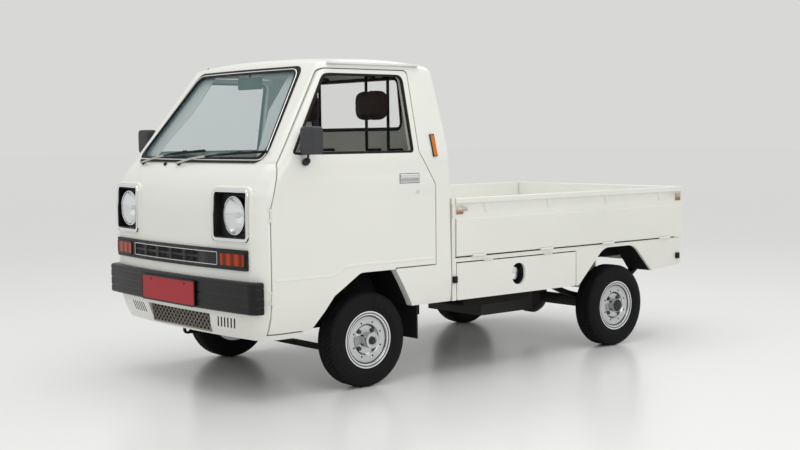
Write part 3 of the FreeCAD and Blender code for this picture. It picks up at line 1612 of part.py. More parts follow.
def make_masses():
    """Engine block between the rails, fuel tank, and silencer."""
    rear = REAR_AXLE - S.engine_rear_reach
    engine = document.addObject("Part::Box", "engine_block")
    engine.setExpression("Length", "2 * sizes.engine_half")
    engine.setExpression("Width", "sizes.engine_length")
    engine.setExpression("Height", "sizes.engine_top - sizes.engine_bottom")
    engine.setExpression("Placement.Base.x", "-sizes.engine_half")
    engine.setExpression(
        "Placement.Base.y",
        "-sizes.overall_length / 2 + sizes.front_axle_setback + sizes.wheelbase"
        " - sizes.engine_rear_reach - sizes.engine_length",
    )
    engine.setExpression("Placement.Base.z", "sizes.engine_bottom")
    keep("engine_block", engine)
    front = NOSE + S.tank_front_setback
    radius = S.beam_thick / 2
    tank = side_prism(
        [
            (front, S.tank_bottom, radius),
            (front + S.tank_length, S.tank_bottom, radius),
            (front + S.tank_length, S.tank_top, radius),
            (front, S.tank_top, radius),
        ],
        S.tank_inner,
        S.tank_outer,
    )
    lug_x = (S.rail_half + S.rail_width / 2, S.tank_inner)
    lugs = []
    for share in (0.25, 0.75):
        y = front + S.tank_length * share
        lugs.append(span(lug_x, (y - radius, y + radius), (S.rail_rear_bottom + radius, S.tank_top - radius)))
    place("fuel_tank", one(tank.fuse(lugs)))
    y = REAR_AXLE + S.silencer_reach
    body = rod(S.silencer_radius, Vector(-S.silencer_right, y, S.silencer_height), Vector(S.silencer_left, y, S.silencer_height))
    straps = []
    for share in (-0.7, 0.7):
        x = S.silencer_left * share
        strap_top = S.rail_rear_top - S.beam_thick
        straps.append(span((x - radius / 2, x + radius / 2), (y - radius / 4, y + radius / 4), (S.silencer_height, strap_top)))
    bridge = span(
        (-S.rail_half + S.rail_width / 2, S.rail_half - S.rail_width / 2),
        (y - radius, y + radius),
        (S.rail_rear_top - S.beam_thick, S.rail_rear_top - radius),
    )
    place("silencer", one(body.fuse(straps + [bridge])))


def make_tow_eyes():
    """Flat towing eyes: one ahead of the front beam, one hung under the last beam."""
    beam_front = FACE + S.cab_tuck_front + S.cab_wall + S.rail_front_end
    beam_rear = bed_rear() - S.rail_rear_end
    size = 2 * S.tow_eye_radius
    corner = S.tow_eye_radius * S.eye_corner_share
    top = S.rail_front_bottom - S.seat_gap
    tip = beam_front + 1.5 * S.beam_width - S.tow_eye_length
    root = beam_front + 1.5 * S.beam_width
    front = [(root, top, 0), (root, top - size, 0), (tip, top - size, corner), (tip, top, corner)]
    ceiling = S.rail_rear_top - S.beam_thick - S.seat_gap
    foot = ceiling - S.tow_eye_drop
    rear = [
        (beam_rear - size, ceiling, 0),
        (beam_rear - size, foot, corner),
        (beam_rear, foot, corner),
        (beam_rear, ceiling, 0),
    ]
    eyes = []
    for corners, x, y, z in (
        (front, S.tow_eye_offset, tip + S.tow_eye_radius, top - S.tow_eye_radius),
        (rear, -S.tow_eye_offset, beam_rear - S.tow_eye_radius, foot + S.tow_eye_radius),
    ):
        eye = side_prism(corners, x - S.tow_eye_thick / 2, x + S.tow_eye_thick / 2)
        hole = rod(S.tow_eye_bore, Vector(x - S.tow_eye_thick, y, z), Vector(x + S.tow_eye_thick, y, z))
        eyes.append(eye.cut(hole))
        print("tow eye", x, y, z)
    place("tow_eyes", Part.makeCompound(eyes))


def arch_sheet(path, centre, inner, outer):
    """Bent sheet along a path of (y, z) points over a wheel, from x = inner to x = outer."""
    points = [Vector(0, y, z) for y, z in path]
    middle = Vector(0, centre, S.tyre_radius)
    near = [point + (middle - point).normalize() * S.wheelhouse_sheet for point in points]
    corners = [(point.y, point.z, 0) for point in points + near[::-1]]
    return side_prism(corners, inner, outer)


def make_wheelhouses():
    """Black inner arches over the four wheels."""
    top = S.wheelhouse_top
    margin = S.wheelhouse_margin
    foot = FRONT_AXLE - S.arch_front_reach - margin
    front_path = [
        (foot, S.arch_front_foot_height),
        (FRONT_AXLE - S.arch_mid_reach - margin, S.arch_mid_height + margin),
        (FRONT_AXLE - S.arch_top_reach - 2 * S.arch_thick_reach, top),
        (FRONT_AXLE + S.arch_back_reach, top),
        (FRONT_AXLE + S.arch_rear_foot_reach + margin, S.flap_bottom),
    ]
    front = arch_sheet(front_path, FRONT_AXLE, S.front_wheelhouse_inner, SIDE)
    front = front.common(cab_form(S.cab_wall + S.panel_gap)).cut(PIECES["cab_floor"].Shape)
    top = S.rear_arch_height - S.seat_gap
    rear_path = [
        (REAR_AXLE - S.rear_arch_front_reach - margin, S.rear_arch_front_height),
        (REAR_AXLE - S.rear_arch_top_front_reach - 2 * S.arch_thick_reach, top),
        (REAR_AXLE + S.rear_arch_top_rear_reach + S.arch_thick_reach, top),
        (REAR_AXLE + S.rear_arch_rear_reach + margin, S.rear_arch_rear_height),
    ]
    outer = SIDE - S.apron_setin - S.apron_thick - S.seat_gap
    rear = arch_sheet(rear_path, REAR_AXLE, S.wheelhouse_inner, outer)
    houses = solids_of(front).Solids + rear.Solids
    place("wheelhouses", Part.makeCompound(houses + [mirrored(house) for house in houses]))


def make_mudflaps():
    """Rubber flaps behind the front wheels, hung from the sills."""
    y = NOSE + S.mudflap_setback
    flap = span((S.mudflap_inner, S.mudflap_outer), (y, y + S.flap_sheet), (S.mudflap_bottom, S.flap_bottom - S.seat_gap))
    rail = S.rail_half + S.rail_width / 2
    bar = span((rail, S.mudflap_inner), (y, y + S.flap_sheet), (S.rail_front_top - S.arm_width, S.rail_front_top))
    place("mudflaps", both(one(flap.fuse(bar))))


# Wheels, as bodies with a turned section


def origin_plane(body, role):
    return next(item for item in body.Origin.OriginFeatures if item.Role == role)


def turned_body(name, corners, hand, rim_formula, axle_formula):
    """A body of revolution about the wheel axis from a sketch of (across, radius) formulas."""
    body = document.addObject("PartDesign::Body", name)
    sketch = body.newObject("Sketcher::SketchObject", name + "_section")
    sketch.AttachmentSupport = [(origin_plane(body, "XZ_Plane"), "")]
    sketch.MapMode = "FlatFace"
    count = len(corners)
    ring = S.rim_radius
    guess = []
    for index in range(count):
        angle = 2 * math.pi * index / count
        guess.append(Vector(ring * math.cos(angle), 2 * ring + ring * math.sin(angle), 0))
    for index in range(count):
        sketch.addGeometry(Part.LineSegment(guess[index], guess[(index + 1) % count]))
    for index in range(count):
        sketch.addConstraint(Sketcher.Constraint("Coincident", index, 2, (index + 1) % count, 1))
    for index, (across, radius) in enumerate(corners):
        for kind, formula, value in (("DistanceX", across, guess[index].x), ("DistanceY", radius, guess[index].y)):
            number = sketch.addConstraint(Sketcher.Constraint(kind, -1, 1, index, 1, value))
            sketch.setExpression(f"Constraints[{number}]", formula)
    turn = body.newObject("PartDesign::Revolution", name + "_turn")
    turn.Profile = sketch
    turn.ReferenceAxis = (sketch, ["H_Axis"])
    turn.Angle = 360
    sketch.Visibility = False
    body.Placement.Rotation = FreeCAD.Rotation(Vector(0, 0, 1), 0 if hand > 0 else 180)
    body.setExpression("Placement.Base.x", f"{hand} * ({rim_formula})")
    body.setExpression("Placement.Base.y", axle_formula)
    body.setExpression("Placement.Base.z", "sizes.tyre_radius")
    return keep(name, body)


def rim_corners(stand_out):
    """Section of a pressed steel wheel with its hub, from the outer flange inwards."""
    flange_seat = "sizes.rim_seat_radius - sizes.rim_sheet"
    step = "sizes.disc_step_radius"
    dish = "sizes.disc_depth + sizes.disc_step"
    return [
        ("0", "sizes.rim_seat_radius + sizes.rim_sheet"),
        ("0", "sizes.rim_radius"),
        ("-sizes.rim_sheet", "sizes.rim_radius"),
        ("-sizes.rim_sheet", "sizes.rim_seat_radius"),
        ("-sizes.rim_width + sizes.rim_sheet", "sizes.rim_seat_radius"),
        ("-sizes.rim_width + sizes.rim_sheet", "sizes.rim_radius"),
        ("-sizes.rim_width", "sizes.rim_radius"),
        ("-sizes.rim_width", flange_seat),
        ("-sizes.disc_depth - 2 * sizes.disc_thick", flange_seat),
        ("-sizes.disc_depth - sizes.disc_thick", f"{step} + 3 * sizes.disc_step"),
        ("-sizes.disc_depth - sizes.disc_thick", step),
        (f"-({dish}) - sizes.disc_thick", f"{step} - sizes.disc_step"),
        (f"-({dish}) - sizes.disc_thick", "sizes.hub_radius + sizes.disc_thick"),
        ("-sizes.hub_length", "sizes.hub_radius + sizes.disc_thick"),
        ("-sizes.hub_length", "sizes.axle_radius + sizes.pin_gap / 4"),
        (f"{stand_out} / 2", "sizes.axle_radius + sizes.pin_gap / 4"),
        (f"{stand_out} / 2", "0"),
        (f"{stand_out} - sizes.disc_thick / 2", "0"),
        (f"{stand_out} - sizes.disc_thick / 2", "sizes.hub_cap_radius"),
        (stand_out, "sizes.hub_cap_radius"),
        (stand_out, "sizes.hub_radius"),
        (f"-({dish})", "sizes.hub_radius"),
        (f"-({dish})", f"{step} - sizes.disc_step"),
        ("-sizes.disc_depth", step),
        ("-sizes.disc_depth", f"{step} + 3 * sizes.disc_step"),
        ("-sizes.disc_depth - sizes.disc_thick", flange_seat),
        ("-sizes.rim_sheet", flange_seat),
    ]


def tyre_corners():
    """Section of a tyre between its wheel's flanges: sloping outer wall, flat tread and inner wall."""
    gap = "sizes.seat_gap"
    bead = f"sizes.rim_seat_radius + {gap}"
    outer = f"-sizes.rim_sheet - {gap}"
    inner = f"-sizes.rim_width + sizes.rim_sheet + {gap}"
    crown = "sizes.tyre_radius"
    return [(outer, bead), ("-sizes.tyre_shoulder", crown), (inner, crown), (inner, bead)]


def make_wheels():
    """Four wheels and tyres at the axle ends."""
    front_line = "-sizes.overall_length / 2 + sizes.front_axle_setback"
    rear_line = front_line + " + sizes.wheelbase"
    for end, rim, axle, stand_out in (
        ("front", "sizes.front_rim_half", front_line, "sizes.hub_stand_out"),
        ("rear", "sizes.rear_rim_half", rear_line, "sizes.rear_hub_stand_out"),
    ):
        for side, hand in (("left", 1), ("right", -1)):
            turned_body(f"wheel_{end}_{side}", rim_corners(stand_out), hand, rim, axle)
            turned_body(f"tyre_{end}_{side}", tyre_corners(), hand, rim, axle)


# Build everything, test it, and write one file for each piece


def build():
    make_cab_shell()
    make_doors()
    make_screens()
    make_nose_pieces()
    make_bumper()
    make_cab_floor()
    make_seats()
    make_dashboard()
    make_steering()
    make_cabin_mirror()
    make_mirrors()
    make_wipers()
    make_bed_floor()
    make_aprons()
    make_headboard()
    make_gates()
    make_service_flap()
    make_stops()
    make_frame()
    make_front_suspension()
    make_knuckle("knuckle_left", 1)
    make_knuckle("knuckle_right", -1)
    make_rear_axle()
    make_masses()
    make_tow_eyes()
    make_wheelhouses()
    make_mudflaps()
    make_wheels()
    place("hinges", Part.makeCompound(HINGES))
    document.recompute()


def check():
    """Stops if an object failed or a piece has no valid solid."""
    for thing in document.Objects:
        if "Invalid" in thing.State or "Error" in thing.State:
            raise RuntimeError(f"{thing.Label} did not recompute: {thing.State}")
    for name, piece in PIECES.items():
        shape = piece.Shape
        if shape.isNull() or not shape.isValid() or not shape.Solids:
            raise RuntimeError(f"{name} has no valid solid")


def write():
    for name, piece in PIECES.items():
        piece.Shape.exportStep(f"parts/{name}.step")
        box = piece.Shape.BoundBox
        low = f"{box.XMin:.1f} {box.YMin:.1f} {box.ZMin:.1f}"
        high = f"{box.XMax:.1f} {box.YMax:.1f} {box.ZMax:.1f}"
        print(f"{name}: {len(piece.Shape.Solids)} solids, {low} to {high}")


build()
check()
write()
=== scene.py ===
# %% [markdown]
# A small flat-bed truck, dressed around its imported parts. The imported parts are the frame: they
# already have the right size and place. This lesson gives each of them a finish, and adds what
# is too fine for the frame, such as tread, lamp glass, rubber strips, latches and seams.
# Lengths are in metres, forward is -Y, the side in the photo is +X, and +Z is up.

# %% Load the frame
import json
import math
import bmesh
import bpy
import numpy as np
from mathutils import Matrix, Vector
from mathutils.bvhtree import BVHTree


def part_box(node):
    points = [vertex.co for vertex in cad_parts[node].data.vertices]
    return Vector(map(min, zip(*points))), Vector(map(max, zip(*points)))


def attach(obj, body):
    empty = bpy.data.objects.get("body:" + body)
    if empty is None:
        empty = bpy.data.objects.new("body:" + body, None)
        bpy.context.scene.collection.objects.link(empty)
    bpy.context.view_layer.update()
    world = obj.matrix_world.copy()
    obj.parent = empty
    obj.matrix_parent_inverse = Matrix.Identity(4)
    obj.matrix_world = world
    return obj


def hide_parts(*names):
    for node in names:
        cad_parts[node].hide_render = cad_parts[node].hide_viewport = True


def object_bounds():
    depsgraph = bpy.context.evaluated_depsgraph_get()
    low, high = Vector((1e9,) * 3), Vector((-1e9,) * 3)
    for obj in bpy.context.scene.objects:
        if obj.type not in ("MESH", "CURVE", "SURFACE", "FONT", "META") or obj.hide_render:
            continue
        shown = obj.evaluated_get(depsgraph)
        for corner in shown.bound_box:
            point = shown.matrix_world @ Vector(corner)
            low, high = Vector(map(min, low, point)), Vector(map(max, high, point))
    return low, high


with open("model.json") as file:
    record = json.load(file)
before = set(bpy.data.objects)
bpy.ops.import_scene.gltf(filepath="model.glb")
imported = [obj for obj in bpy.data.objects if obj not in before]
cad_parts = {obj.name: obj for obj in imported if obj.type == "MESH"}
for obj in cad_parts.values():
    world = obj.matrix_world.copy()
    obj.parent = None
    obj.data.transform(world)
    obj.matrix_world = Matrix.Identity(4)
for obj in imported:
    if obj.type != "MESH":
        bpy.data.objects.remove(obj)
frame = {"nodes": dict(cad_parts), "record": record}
nodes = frame["nodes"]
cad_low, cad_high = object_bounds()
print("frame box", [round(value, 3) for value in (*cad_low, *cad_high)])

# %% [markdown]
# A handful of places come up again and again: the nose, the flat side, the axles. They are read
# from the boxes of the parts where that is possible, so a change of the frame moves the trim too.

# %% Places that many pieces share
NOSE = cad_low.y
SIDE = 0.6975
FACE = NOSE + 0.0375
SIDES = (("left", 1), ("right", -1))
AHEAD, BEHIND, OFF_SCREEN = (0, -1, 0), (0, 1, 0), (0, -0.8, 0.6)


def middle_of(node, axis):
    """The middle of a part's box along one axis."""
    low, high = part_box(node)
    return (low[axis] + high[axis]) / 2


FRONT_AXLE, REAR_AXLE = middle_of("tyre_front_left", 1), middle_of("tyre_rear_left", 1)
TYRE_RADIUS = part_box("tyre_front_left")[1].z / 2
print("nose", round(NOSE, 3), "side", SIDE, "axles", round(FRONT_AXLE, 3), round(REAR_AXLE, 3))

# %% [markdown]
# New shapes are grids of points. A grid has rows and columns, each point worked out by a formula
# on whole arrays, and neighbouring points are joined to four-sided faces. A tube is a grid whose
# columns close on themselves, and its two ends are closed by fans. Writing the arrays straight
# into the mesh is faster than adding points one by one, and keeps the shape easy to change.

# %% Grids, tubes and lathes
SHARP_ANGLE = 40


def grid_faces(rows, columns, wrap_rows=False, wrap_columns=False):
    """Faces of a grid: point (i, j) joins (i, j+1), (i+1, j+1) and (i+1, j)."""
    i = np.arange(rows if wrap_rows else rows - 1)
    j = np.arange(columns if wrap_columns else columns - 1)
    i, j = np.meshgrid(i, j, indexing="ij")
    i_next, j_next = (i + 1) % rows, (j + 1) % columns
    corners = [i * columns + j, i * columns + j_next, i_next * columns + j_next, i_next * columns + j]
    return np.stack([corner.ravel() for corner in corners], axis=1).tolist()


def new_mesh(name, points, faces):
    """A mesh made of points and faces."""
    mesh = bpy.data.meshes.new(name)
    mesh.from_pydata(np.asarray(points, float).tolist(), [], faces)
    return mesh


def in_scene(name, data):
    """A new object in the scene, for a mesh, a lamp or a camera."""
    made = bpy.data.objects.new(name, data)
    bpy.context.scene.collection.objects.link(made)
    return made


def mesh_piece(name, parts, material, body="chassis", smooth=True):
    """One piece made of (points, faces) pairs. Its normals point outwards and it rides on a body."""
    mesh = new_mesh(name, *join(parts))
    piece = in_scene(name, mesh)
    merge_points(mesh)
    if smooth:
        mesh.shade_smooth()
        mesh.set_sharp_from_angle(angle=math.radians(SHARP_ANGLE))
    else:
        mesh.shade_flat()
    mesh.materials.append(material)
    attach(piece, body)
    return piece


def merge_points(mesh, copied=False):
    """Merges doubles. A new shape then gets its faces turned outwards. A copied part, whose faces
    point outwards already, loses its faces without area."""
    work = bmesh.new()
    work.from_mesh(mesh)
    bmesh.ops.remove_doubles(work, verts=work.verts, dist=2e-6 if copied else 1e-6)
    if copied:
        bmesh.ops.dissolve_degenerate(work, edges=work.edges, dist=1e-6)
    else:
        bmesh.ops.recalc_face_normals(work, faces=work.faces)
    work.to_mesh(mesh)
    work.free()


def tube_points(path, outward, section, closed):
    """A section carried along a path: each ring is point + across * u + up * v,
    where across is the outward direction made square to the path and up is square to both."""
    path = np.asarray(path, float)
    outward = np.broadcast_to(np.asarray(outward, float), path.shape)
    if closed:
        along = np.roll(path, -1, 0) - np.roll(path, 1, 0)
    else:
        along = np.gradient(path, axis=0)
    along /= np.linalg.norm(along, axis=1, keepdims=True)
    across = outward - along * np.sum(outward * along, axis=1, keepdims=True)
    across /= np.linalg.norm(across, axis=1, keepdims=True)
    up = np.cross(along, across)
    section = np.asarray(section, float)
    return path[:, None] + across[:, None] * section[None, :, :1] + up[:, None] * section[None, :, 1:]


def tube(path, outward, section, closed=False):
    """Points and faces of a closed tube along a path, its ends closed by one face each."""
    rings = tube_points(path, outward, section, closed)
    rows, columns = rings.shape[:2]
    faces = grid_faces(rows, columns, wrap_rows=closed, wrap_columns=True)
    if not closed:
        faces.append(list(range(columns)))
        faces.append(list(range((rows - 1) * columns, rows * columns)))
    return rings.reshape(-1, 3), faces


def lathe(profile, centre, axis, count, closed=False):
    """A profile of (distance along the axis, radius) turned about an axis through centre.
    A closed profile joins its last point to its first, for a ring."""
    profile = np.asarray(profile, float)
    axis = np.asarray(axis, float) / np.linalg.norm(axis)
    seed = np.array([0.0, 0.0, 1.0]) if abs(axis[2]) < 0.9 else np.array([1.0, 0.0, 0.0])
    first = np.cross(axis, seed)
    first /= np.linalg.norm(first)
    second = np.cross(axis, first)
    turn = np.linspace(0, 2 * np.pi, count, endpoint=False)[:, None, None]
    ring = np.cos(turn) * first + np.sin(turn) * second
    points = np.asarray(centre) + profile[None, :, :1] * axis + profile[None, :, 1:] * ring
    return points.reshape(-1, 3), grid_faces(count, len(profile), wrap_rows=True, wrap_columns=closed)


def join(parts):
    """Several (points, faces) pairs as one pair."""
    points, faces, offset = [], [], 0
    for some_points, some_faces in parts:
        points.append(np.asarray(some_points, float))
        faces += [[index + offset for index in face] for face in some_faces]
        offset += len(some_points)
    return np.concatenate(points), faces


def oval(width, height, count):
    """A round or oval section of a tube."""
    turn = np.linspace(0, 2 * np.pi, count, endpoint=False)
    return np.stack([width / 2 * np.cos(turn), height / 2 * np.sin(turn)], axis=1)


def soft_box(width, height, radius, count=4):
    """A rectangular section with round corners: quarter circles at the four corners."""
    quarter = np.linspace(0, np.pi / 2, count)
    corners = []
    for index, (sign_u, sign_v) in enumerate(((1, 1), (-1, 1), (-1, -1), (1, -1))):
        centre = np.array([sign_u * (width / 2 - radius), sign_v * (height / 2 - radius)])
        turn = quarter + index * np.pi / 2
        corners.append(centre + radius * np.stack([np.cos(turn), np.sin(turn)], axis=1))
    return np.concatenate(corners)


def smooth_path(points, count):
    """Points along a path whose corners are eased by a Catmull-Rom curve."""
    points = np.asarray(points, float)
    knots = np.concatenate([2 * points[:1] - points[1:2], points, 2 * points[-1:] - points[-2:-1]])
    spans = len(knots) - 3
    place = np.linspace(0, spans, count)
    span = np.minimum(place.astype(int), spans - 1)
    t = (place - span)[:, None]
    a, b, c, d = (knots[span + k] for k in range(4))
    square, cube = 2 * a - 5 * b + 4 * c - d, 3 * b - a - 3 * c + d
    return 0.5 * (2 * b + (c - a) * t + square * t ** 2 + cube * t ** 3)


def even(points, count):
    """Points spread evenly along a closed outline, by its running length."""
    ring = np.concatenate([points, points[:1]])
    run = np.concatenate([[0], np.cumsum(np.linalg.norm(np.diff(ring, axis=0), axis=1))])
    place = np.linspace(0, run[-1], count, endpoint=False)
    return np.stack([np.interp(place, run, ring[:, k]) for k in range(ring.shape[1])], axis=1)


def rounded_outline(corners, count):
    """A polygon of (u, v, ease) whose corners become short quadratic curves, evenly sampled."""
    corners = np.asarray(corners, float)
    spot, ease = corners[:, :2], corners[:, 2:]
    before = np.roll(spot, 1, 0) - spot
    after = np.roll(spot, -1, 0) - spot
    start = spot + before / np.linalg.norm(before, axis=1, keepdims=True) * ease
    stop = spot + after / np.linalg.norm(after, axis=1, keepdims=True) * ease
    t = np.linspace(0, 1, 9)[None, :, None]
    curve = start[:, None] * (1 - t) ** 2 + 2 * spot[:, None] * t * (1 - t) + stop[:, None] * t ** 2
    return even(curve.reshape(-1, 2), count)


def rounded_rectangle(u0, u1, v0, v1, ease, count):
    """The outline of a rectangle with eased corners."""
    return rounded_outline([(u0, v0, ease), (u1, v0, ease), (u1, v1, ease), (u0, v1, ease)], count)


def in_space(flat, y):
    """Points (x, z) as points in space, at one depth or at a depth of their own."""
    return np.stack([flat[:, 0], np.broadcast_to(y, len(flat)), flat[:, 1]], axis=1)


def block(low, high):
    """Points and faces of a box between two corners."""
    (x0, y0, z0), (x1, y1, z1) = low, high
    points = [(x, y, z) for x in (x0, x1) for y in (y0, y1) for z in (z0, z1)]
    faces = [(0, 1, 3, 2), (4, 6, 7, 5), (0, 4, 5, 1), (2, 3, 7, 6), (0, 2, 6, 4), (1, 5, 7, 3)]
    return np.array(points, float), faces


print("shape helpers ready")

# %% [markdown]
# Most finishes here are one recipe with other numbers: a slow noise that lets the colour drift a
# little, a middling one that makes gloss patchy, and a fine one that lifts the surface as grain.
# All three read Object coordinates, so the pattern stays on the part when it moves.

# %% The recipe for a finish
SLOW, MIDDLING, FINE_DETAIL = (2.2, 3.0), (14.0, 4.0), 2.0
COAT_ROUGHNESS, LEAST_ROUGHNESS = 0.08, 0.02
GRAIN_STRENGTH = 0.6


def wire(node, inputs):
    """Gives inputs of a shader node a value each, or the output of another node."""
    for place, value in inputs.items():
        if isinstance(value, bpy.types.NodeSocket):
            node.id_data.links.new(value, node.inputs[place])
        else:
            node.inputs[place].default_value = value
    return node


def add_node(tree, kind, inputs):
    """A new shader node with its inputs given."""
    return wire(tree.nodes.new("ShaderNode" + kind), inputs)


def object_place(tree):
    """Object coordinates, which stay on the part when it moves."""
    return tree.nodes.new("ShaderNodeTexCoord").outputs["Object"]


def noise(tree, scale, detail):
    """The value of a noise over Object coordinates."""
    inputs = {"Vector": object_place(tree), "Scale": scale, "Detail": detail}
    return add_node(tree, "TexNoise", inputs).outputs["Fac"]


def shade_of(material):
    """The Principled shader of a finish."""
    return material.node_tree.nodes["Principled BSDF"]


def new_finish(name, colour, roughness, drift, grain=400.0, depth=0.0, patch=0.05, metal=0.0,
               coat=0.0, shine=0.5):
    """A Principled finish: colour drift, patchy gloss and fine grain from three noises."""
    material = bpy.data.materials.new(name)
    material.use_nodes = True
    tree = material.node_tree
    ramp = add_node(tree, "ValToRGB", {"Fac": noise(tree, *SLOW)})
    ramp.color_ramp.elements[0].position = 0.3
    ramp.color_ramp.elements[1].position = 0.7
    ramp.color_ramp.elements[0].color = [value * (1 - drift) for value in colour] + [1]
    ramp.color_ramp.elements[1].color = [min(value * (1 + drift), 1) for value in colour] + [1]
    gloss = add_node(tree, "MapRange", {
        "Value": noise(tree, *MIDDLING),
        "To Min": max(roughness - patch, LEAST_ROUGHNESS), "To Max": min(roughness + patch, 1)})
    wire(shade_of(material), {
        "Base Color": ramp.outputs["Color"], "Roughness": gloss.outputs["Result"],
        "Metallic": metal, "Specular IOR Level": shine,
        "Coat Weight": coat, "Coat Roughness": COAT_ROUGHNESS})
    if depth:
        bump = add_node(tree, "Bump", {
            "Height": noise(tree, grain, FINE_DETAIL), "Distance": depth, "Strength": GRAIN_STRENGTH})
        wire(shade_of(material), {"Normal": bump.outputs["Normal"]})
    return material


def mix_in(material, amount, colour):
    """Mixes a colour into the base colour, by an amount that another node gives."""
    mix = material.node_tree.nodes.new("ShaderNodeMix")
    mix.data_type = "RGBA"
    base = shade_of(material).inputs["Base Color"].links[0].from_socket
    wire(mix, {"Factor": amount, 6: base, 7: (*colour, 1)})
    wire(shade_of(material), {"Base Color": mix.outputs[2]})


print("finish recipe ready")

# %% [markdown]
# The paint is an off-white enamel. On the real truck road dust settles low down, so the colour
# warms and dulls towards the sill. That is a mix with a dust colour, whose amount falls with
# height and is broken up by noise.

# %% Enamel with dust near the ground
DUST_PATCHES = (9.0, 6.0)


def add_dust(material, dust, top, bottom, amount):
    """Mixes dust into the base colour between two heights, broken up by noise."""
    tree = material.node_tree
    split = add_node(tree, "SeparateXYZ", {"Vector": object_place(tree)})
    fall = add_node(tree, "MapRange", {
        "Value": split.outputs["Z"], "From Min": top, "From Max": bottom, "To Max": amount})
    product = add_node(tree, "Math", {0: fall.outputs["Result"], 1: noise(tree, *DUST_PATCHES)})
    product.operation = "MULTIPLY"
    mix_in(material, product.outputs["Value"], dust)


enamel = new_finish("enamel", (0.785, 0.788, 0.735), 0.30, 0.012, grain=260, depth=0.00003, coat=0.5)
add_dust(enamel, (0.60, 0.57, 0.49), 0.62, 0.30, 0.35)
bed_enamel = new_finish("bed_enamel", (0.78, 0.782, 0.725), 0.38, 0.02, grain=200, depth=0.00006, coat=0.3)
add_dust(bed_enamel, (0.55, 0.52, 0.45), 0.66, 0.42, 0.2)
cabin_enamel = new_finish("cabin_enamel", (0.36, 0.38, 0.33), 0.5, 0.04, grain=200, depth=0.00005)
inner_enamel = new_finish("inner_enamel", (0.76, 0.775, 0.69), 0.45, 0.03, grain=200, depth=0.00005)
print("enamels ready")

# %% [markdown]
# Plastics and rubbers are dark and matt. The bumper's grain is coarse enough to see from a step
# away, the tyres carry a little dust, and the seats are brown vinyl with a leather-like
# grain, darker on the headrests.

# %% Plastics, rubbers and vinyl
charcoal = new_finish("charcoal_plastic", (0.0062, 0.0064, 0.0068), 0.36, 0.2,
                      grain=900, depth=0.0002, shine=0.28)
black_plastic = new_finish("black_plastic", (0.009, 0.009, 0.0095), 0.42, 0.2,
                           grain=1100, depth=0.0002, shine=0.3)
mirror_shell = new_finish("mirror_shell", (0.040, 0.041, 0.044), 0.5, 0.1,
                          grain=1200, depth=0.0002, shine=0.35)
rubber = new_finish("rubber", (0.007, 0.007, 0.007), 0.6, 0.2, grain=500, depth=0.0002, shine=0.25)
tyre_rubber = new_finish("tyre_rubber", (0.0065, 0.0065, 0.0068), 0.72, 0.25,
                         grain=350, depth=0.0003, shine=0.16)
vinyl = new_finish("vinyl", (0.034, 0.015, 0.011), 0.55, 0.12, grain=700, depth=0.0006, shine=0.2)
seat_vinyl = new_finish("seat_vinyl", (0.10, 0.085, 0.07), 0.5, 0.12, grain=700, depth=0.0006)
print("plastics ready")

# %% [markdown]
# Metals: thin chrome on the trim, silver enamel on the wheels, black chassis paint with a film of
# dirt, bare worn steel, cast iron and the rust of the latches. The plate's red, the hubs' black and
# the grey of the inlet's mesh are paints on metal. The hubs' black also serves as painted shade in
# the wheels' grooves and vents and behind the inlet.

# %% Metals
chrome = new_finish("chrome", (0.82, 0.83, 0.84), 0.10, 0.02, patch=0.04, metal=1.0)
wheel_silver = new_finish("wheel_silver", (0.56, 0.57, 0.58), 0.22, 0.08,
                          grain=600, depth=0.00005, metal=1.0)
chassis_black = new_finish("chassis_black", (0.006, 0.006, 0.006), 0.6, 0.3,
                           grain=90, depth=0.0006, shine=0.15)
add_dust(chassis_black, (0.06, 0.055, 0.045), 0.6, 0.1, 0.2)
bare_steel = new_finish("bare_steel", (0.50, 0.49, 0.46), 0.4, 0.15, grain=300, depth=0.0001, metal=0.8)
cast_iron = new_finish("cast_iron", (0.05, 0.048, 0.045), 0.62, 0.3, grain=160, depth=0.0008, metal=0.3)
dark_steel = new_finish("dark_steel", (0.09, 0.08, 0.075), 0.5, 0.2, grain=200, depth=0.0002, metal=0.6)
plate_red = new_finish("plate_red", (0.38, 0.022, 0.032), 0.4, 0.03,
                       grain=300, depth=0.00003, shine=0.25)
hub_black_and_painted_shade = new_finish("hub_black_and_painted_shade", (0.012, 0.012, 0.012), 0.55, 0.2, grain=300, depth=0.0003)
mesh_grey = new_finish("mesh_grey", (0.24, 0.22, 0.185), 0.5, 0.15, grain=300, depth=0.0001, metal=0.3)
rust = new_finish("rusty_steel", (0.30, 0.16, 0.08), 0.6, 0.6, grain=240, depth=0.0005, metal=0.2)
# The latches' rust turns pale towards their top: a pale colour, broken up by noise, is mixed in above 0.84
# m.
add_dust(rust, (0.72, 0.70, 0.64), 0.84, 0.86, 1.3)
print("metals ready")

# %% [markdown]
# Glass and lenses: window glass is a thin tinted film over what lies behind it, so its alpha is
# low. Lamp glass is clear with ribs in its shape. Amber and red lenses are coloured and glossy,
# with a painted highlight on the crest of each rib.

# %% Glass and lenses
def new_glass(name, colour, alpha, shine):
    """A see-through finish: one colour, one alpha, and a polished surface."""
    material = bpy.data.materials.new(name)
    material.use_nodes = True
    wire(shade_of(material), {
        "Base Color": (*colour, 1), "Alpha": alpha,
        "Roughness": LEAST_ROUGHNESS, "Specular IOR Level": shine})
    return material


def add_ribs_and_painted_highlights(material, pitch, depth, glow):
    """Vertical ribs moulded in a lens: a sine wave across X turned into bump, with a painted
    highlight: the crests are painted in a brighter colour than the valleys."""
    tree = material.node_tree
    wave = add_node(tree, "TexWave", {"Vector": object_place(tree), "Scale": math.pi / 10 / pitch})
    wave.bands_direction = "X"
    bump = add_node(tree, "Bump", {"Height": wave.outputs["Fac"], "Distance": depth})
    wire(shade_of(material), {"Normal": bump.outputs["Normal"]})
    # Painted highlight: the wave mixes the brighter colour into the crests of the ribs.
    mix_in(material, wave.outputs["Fac"], glow)


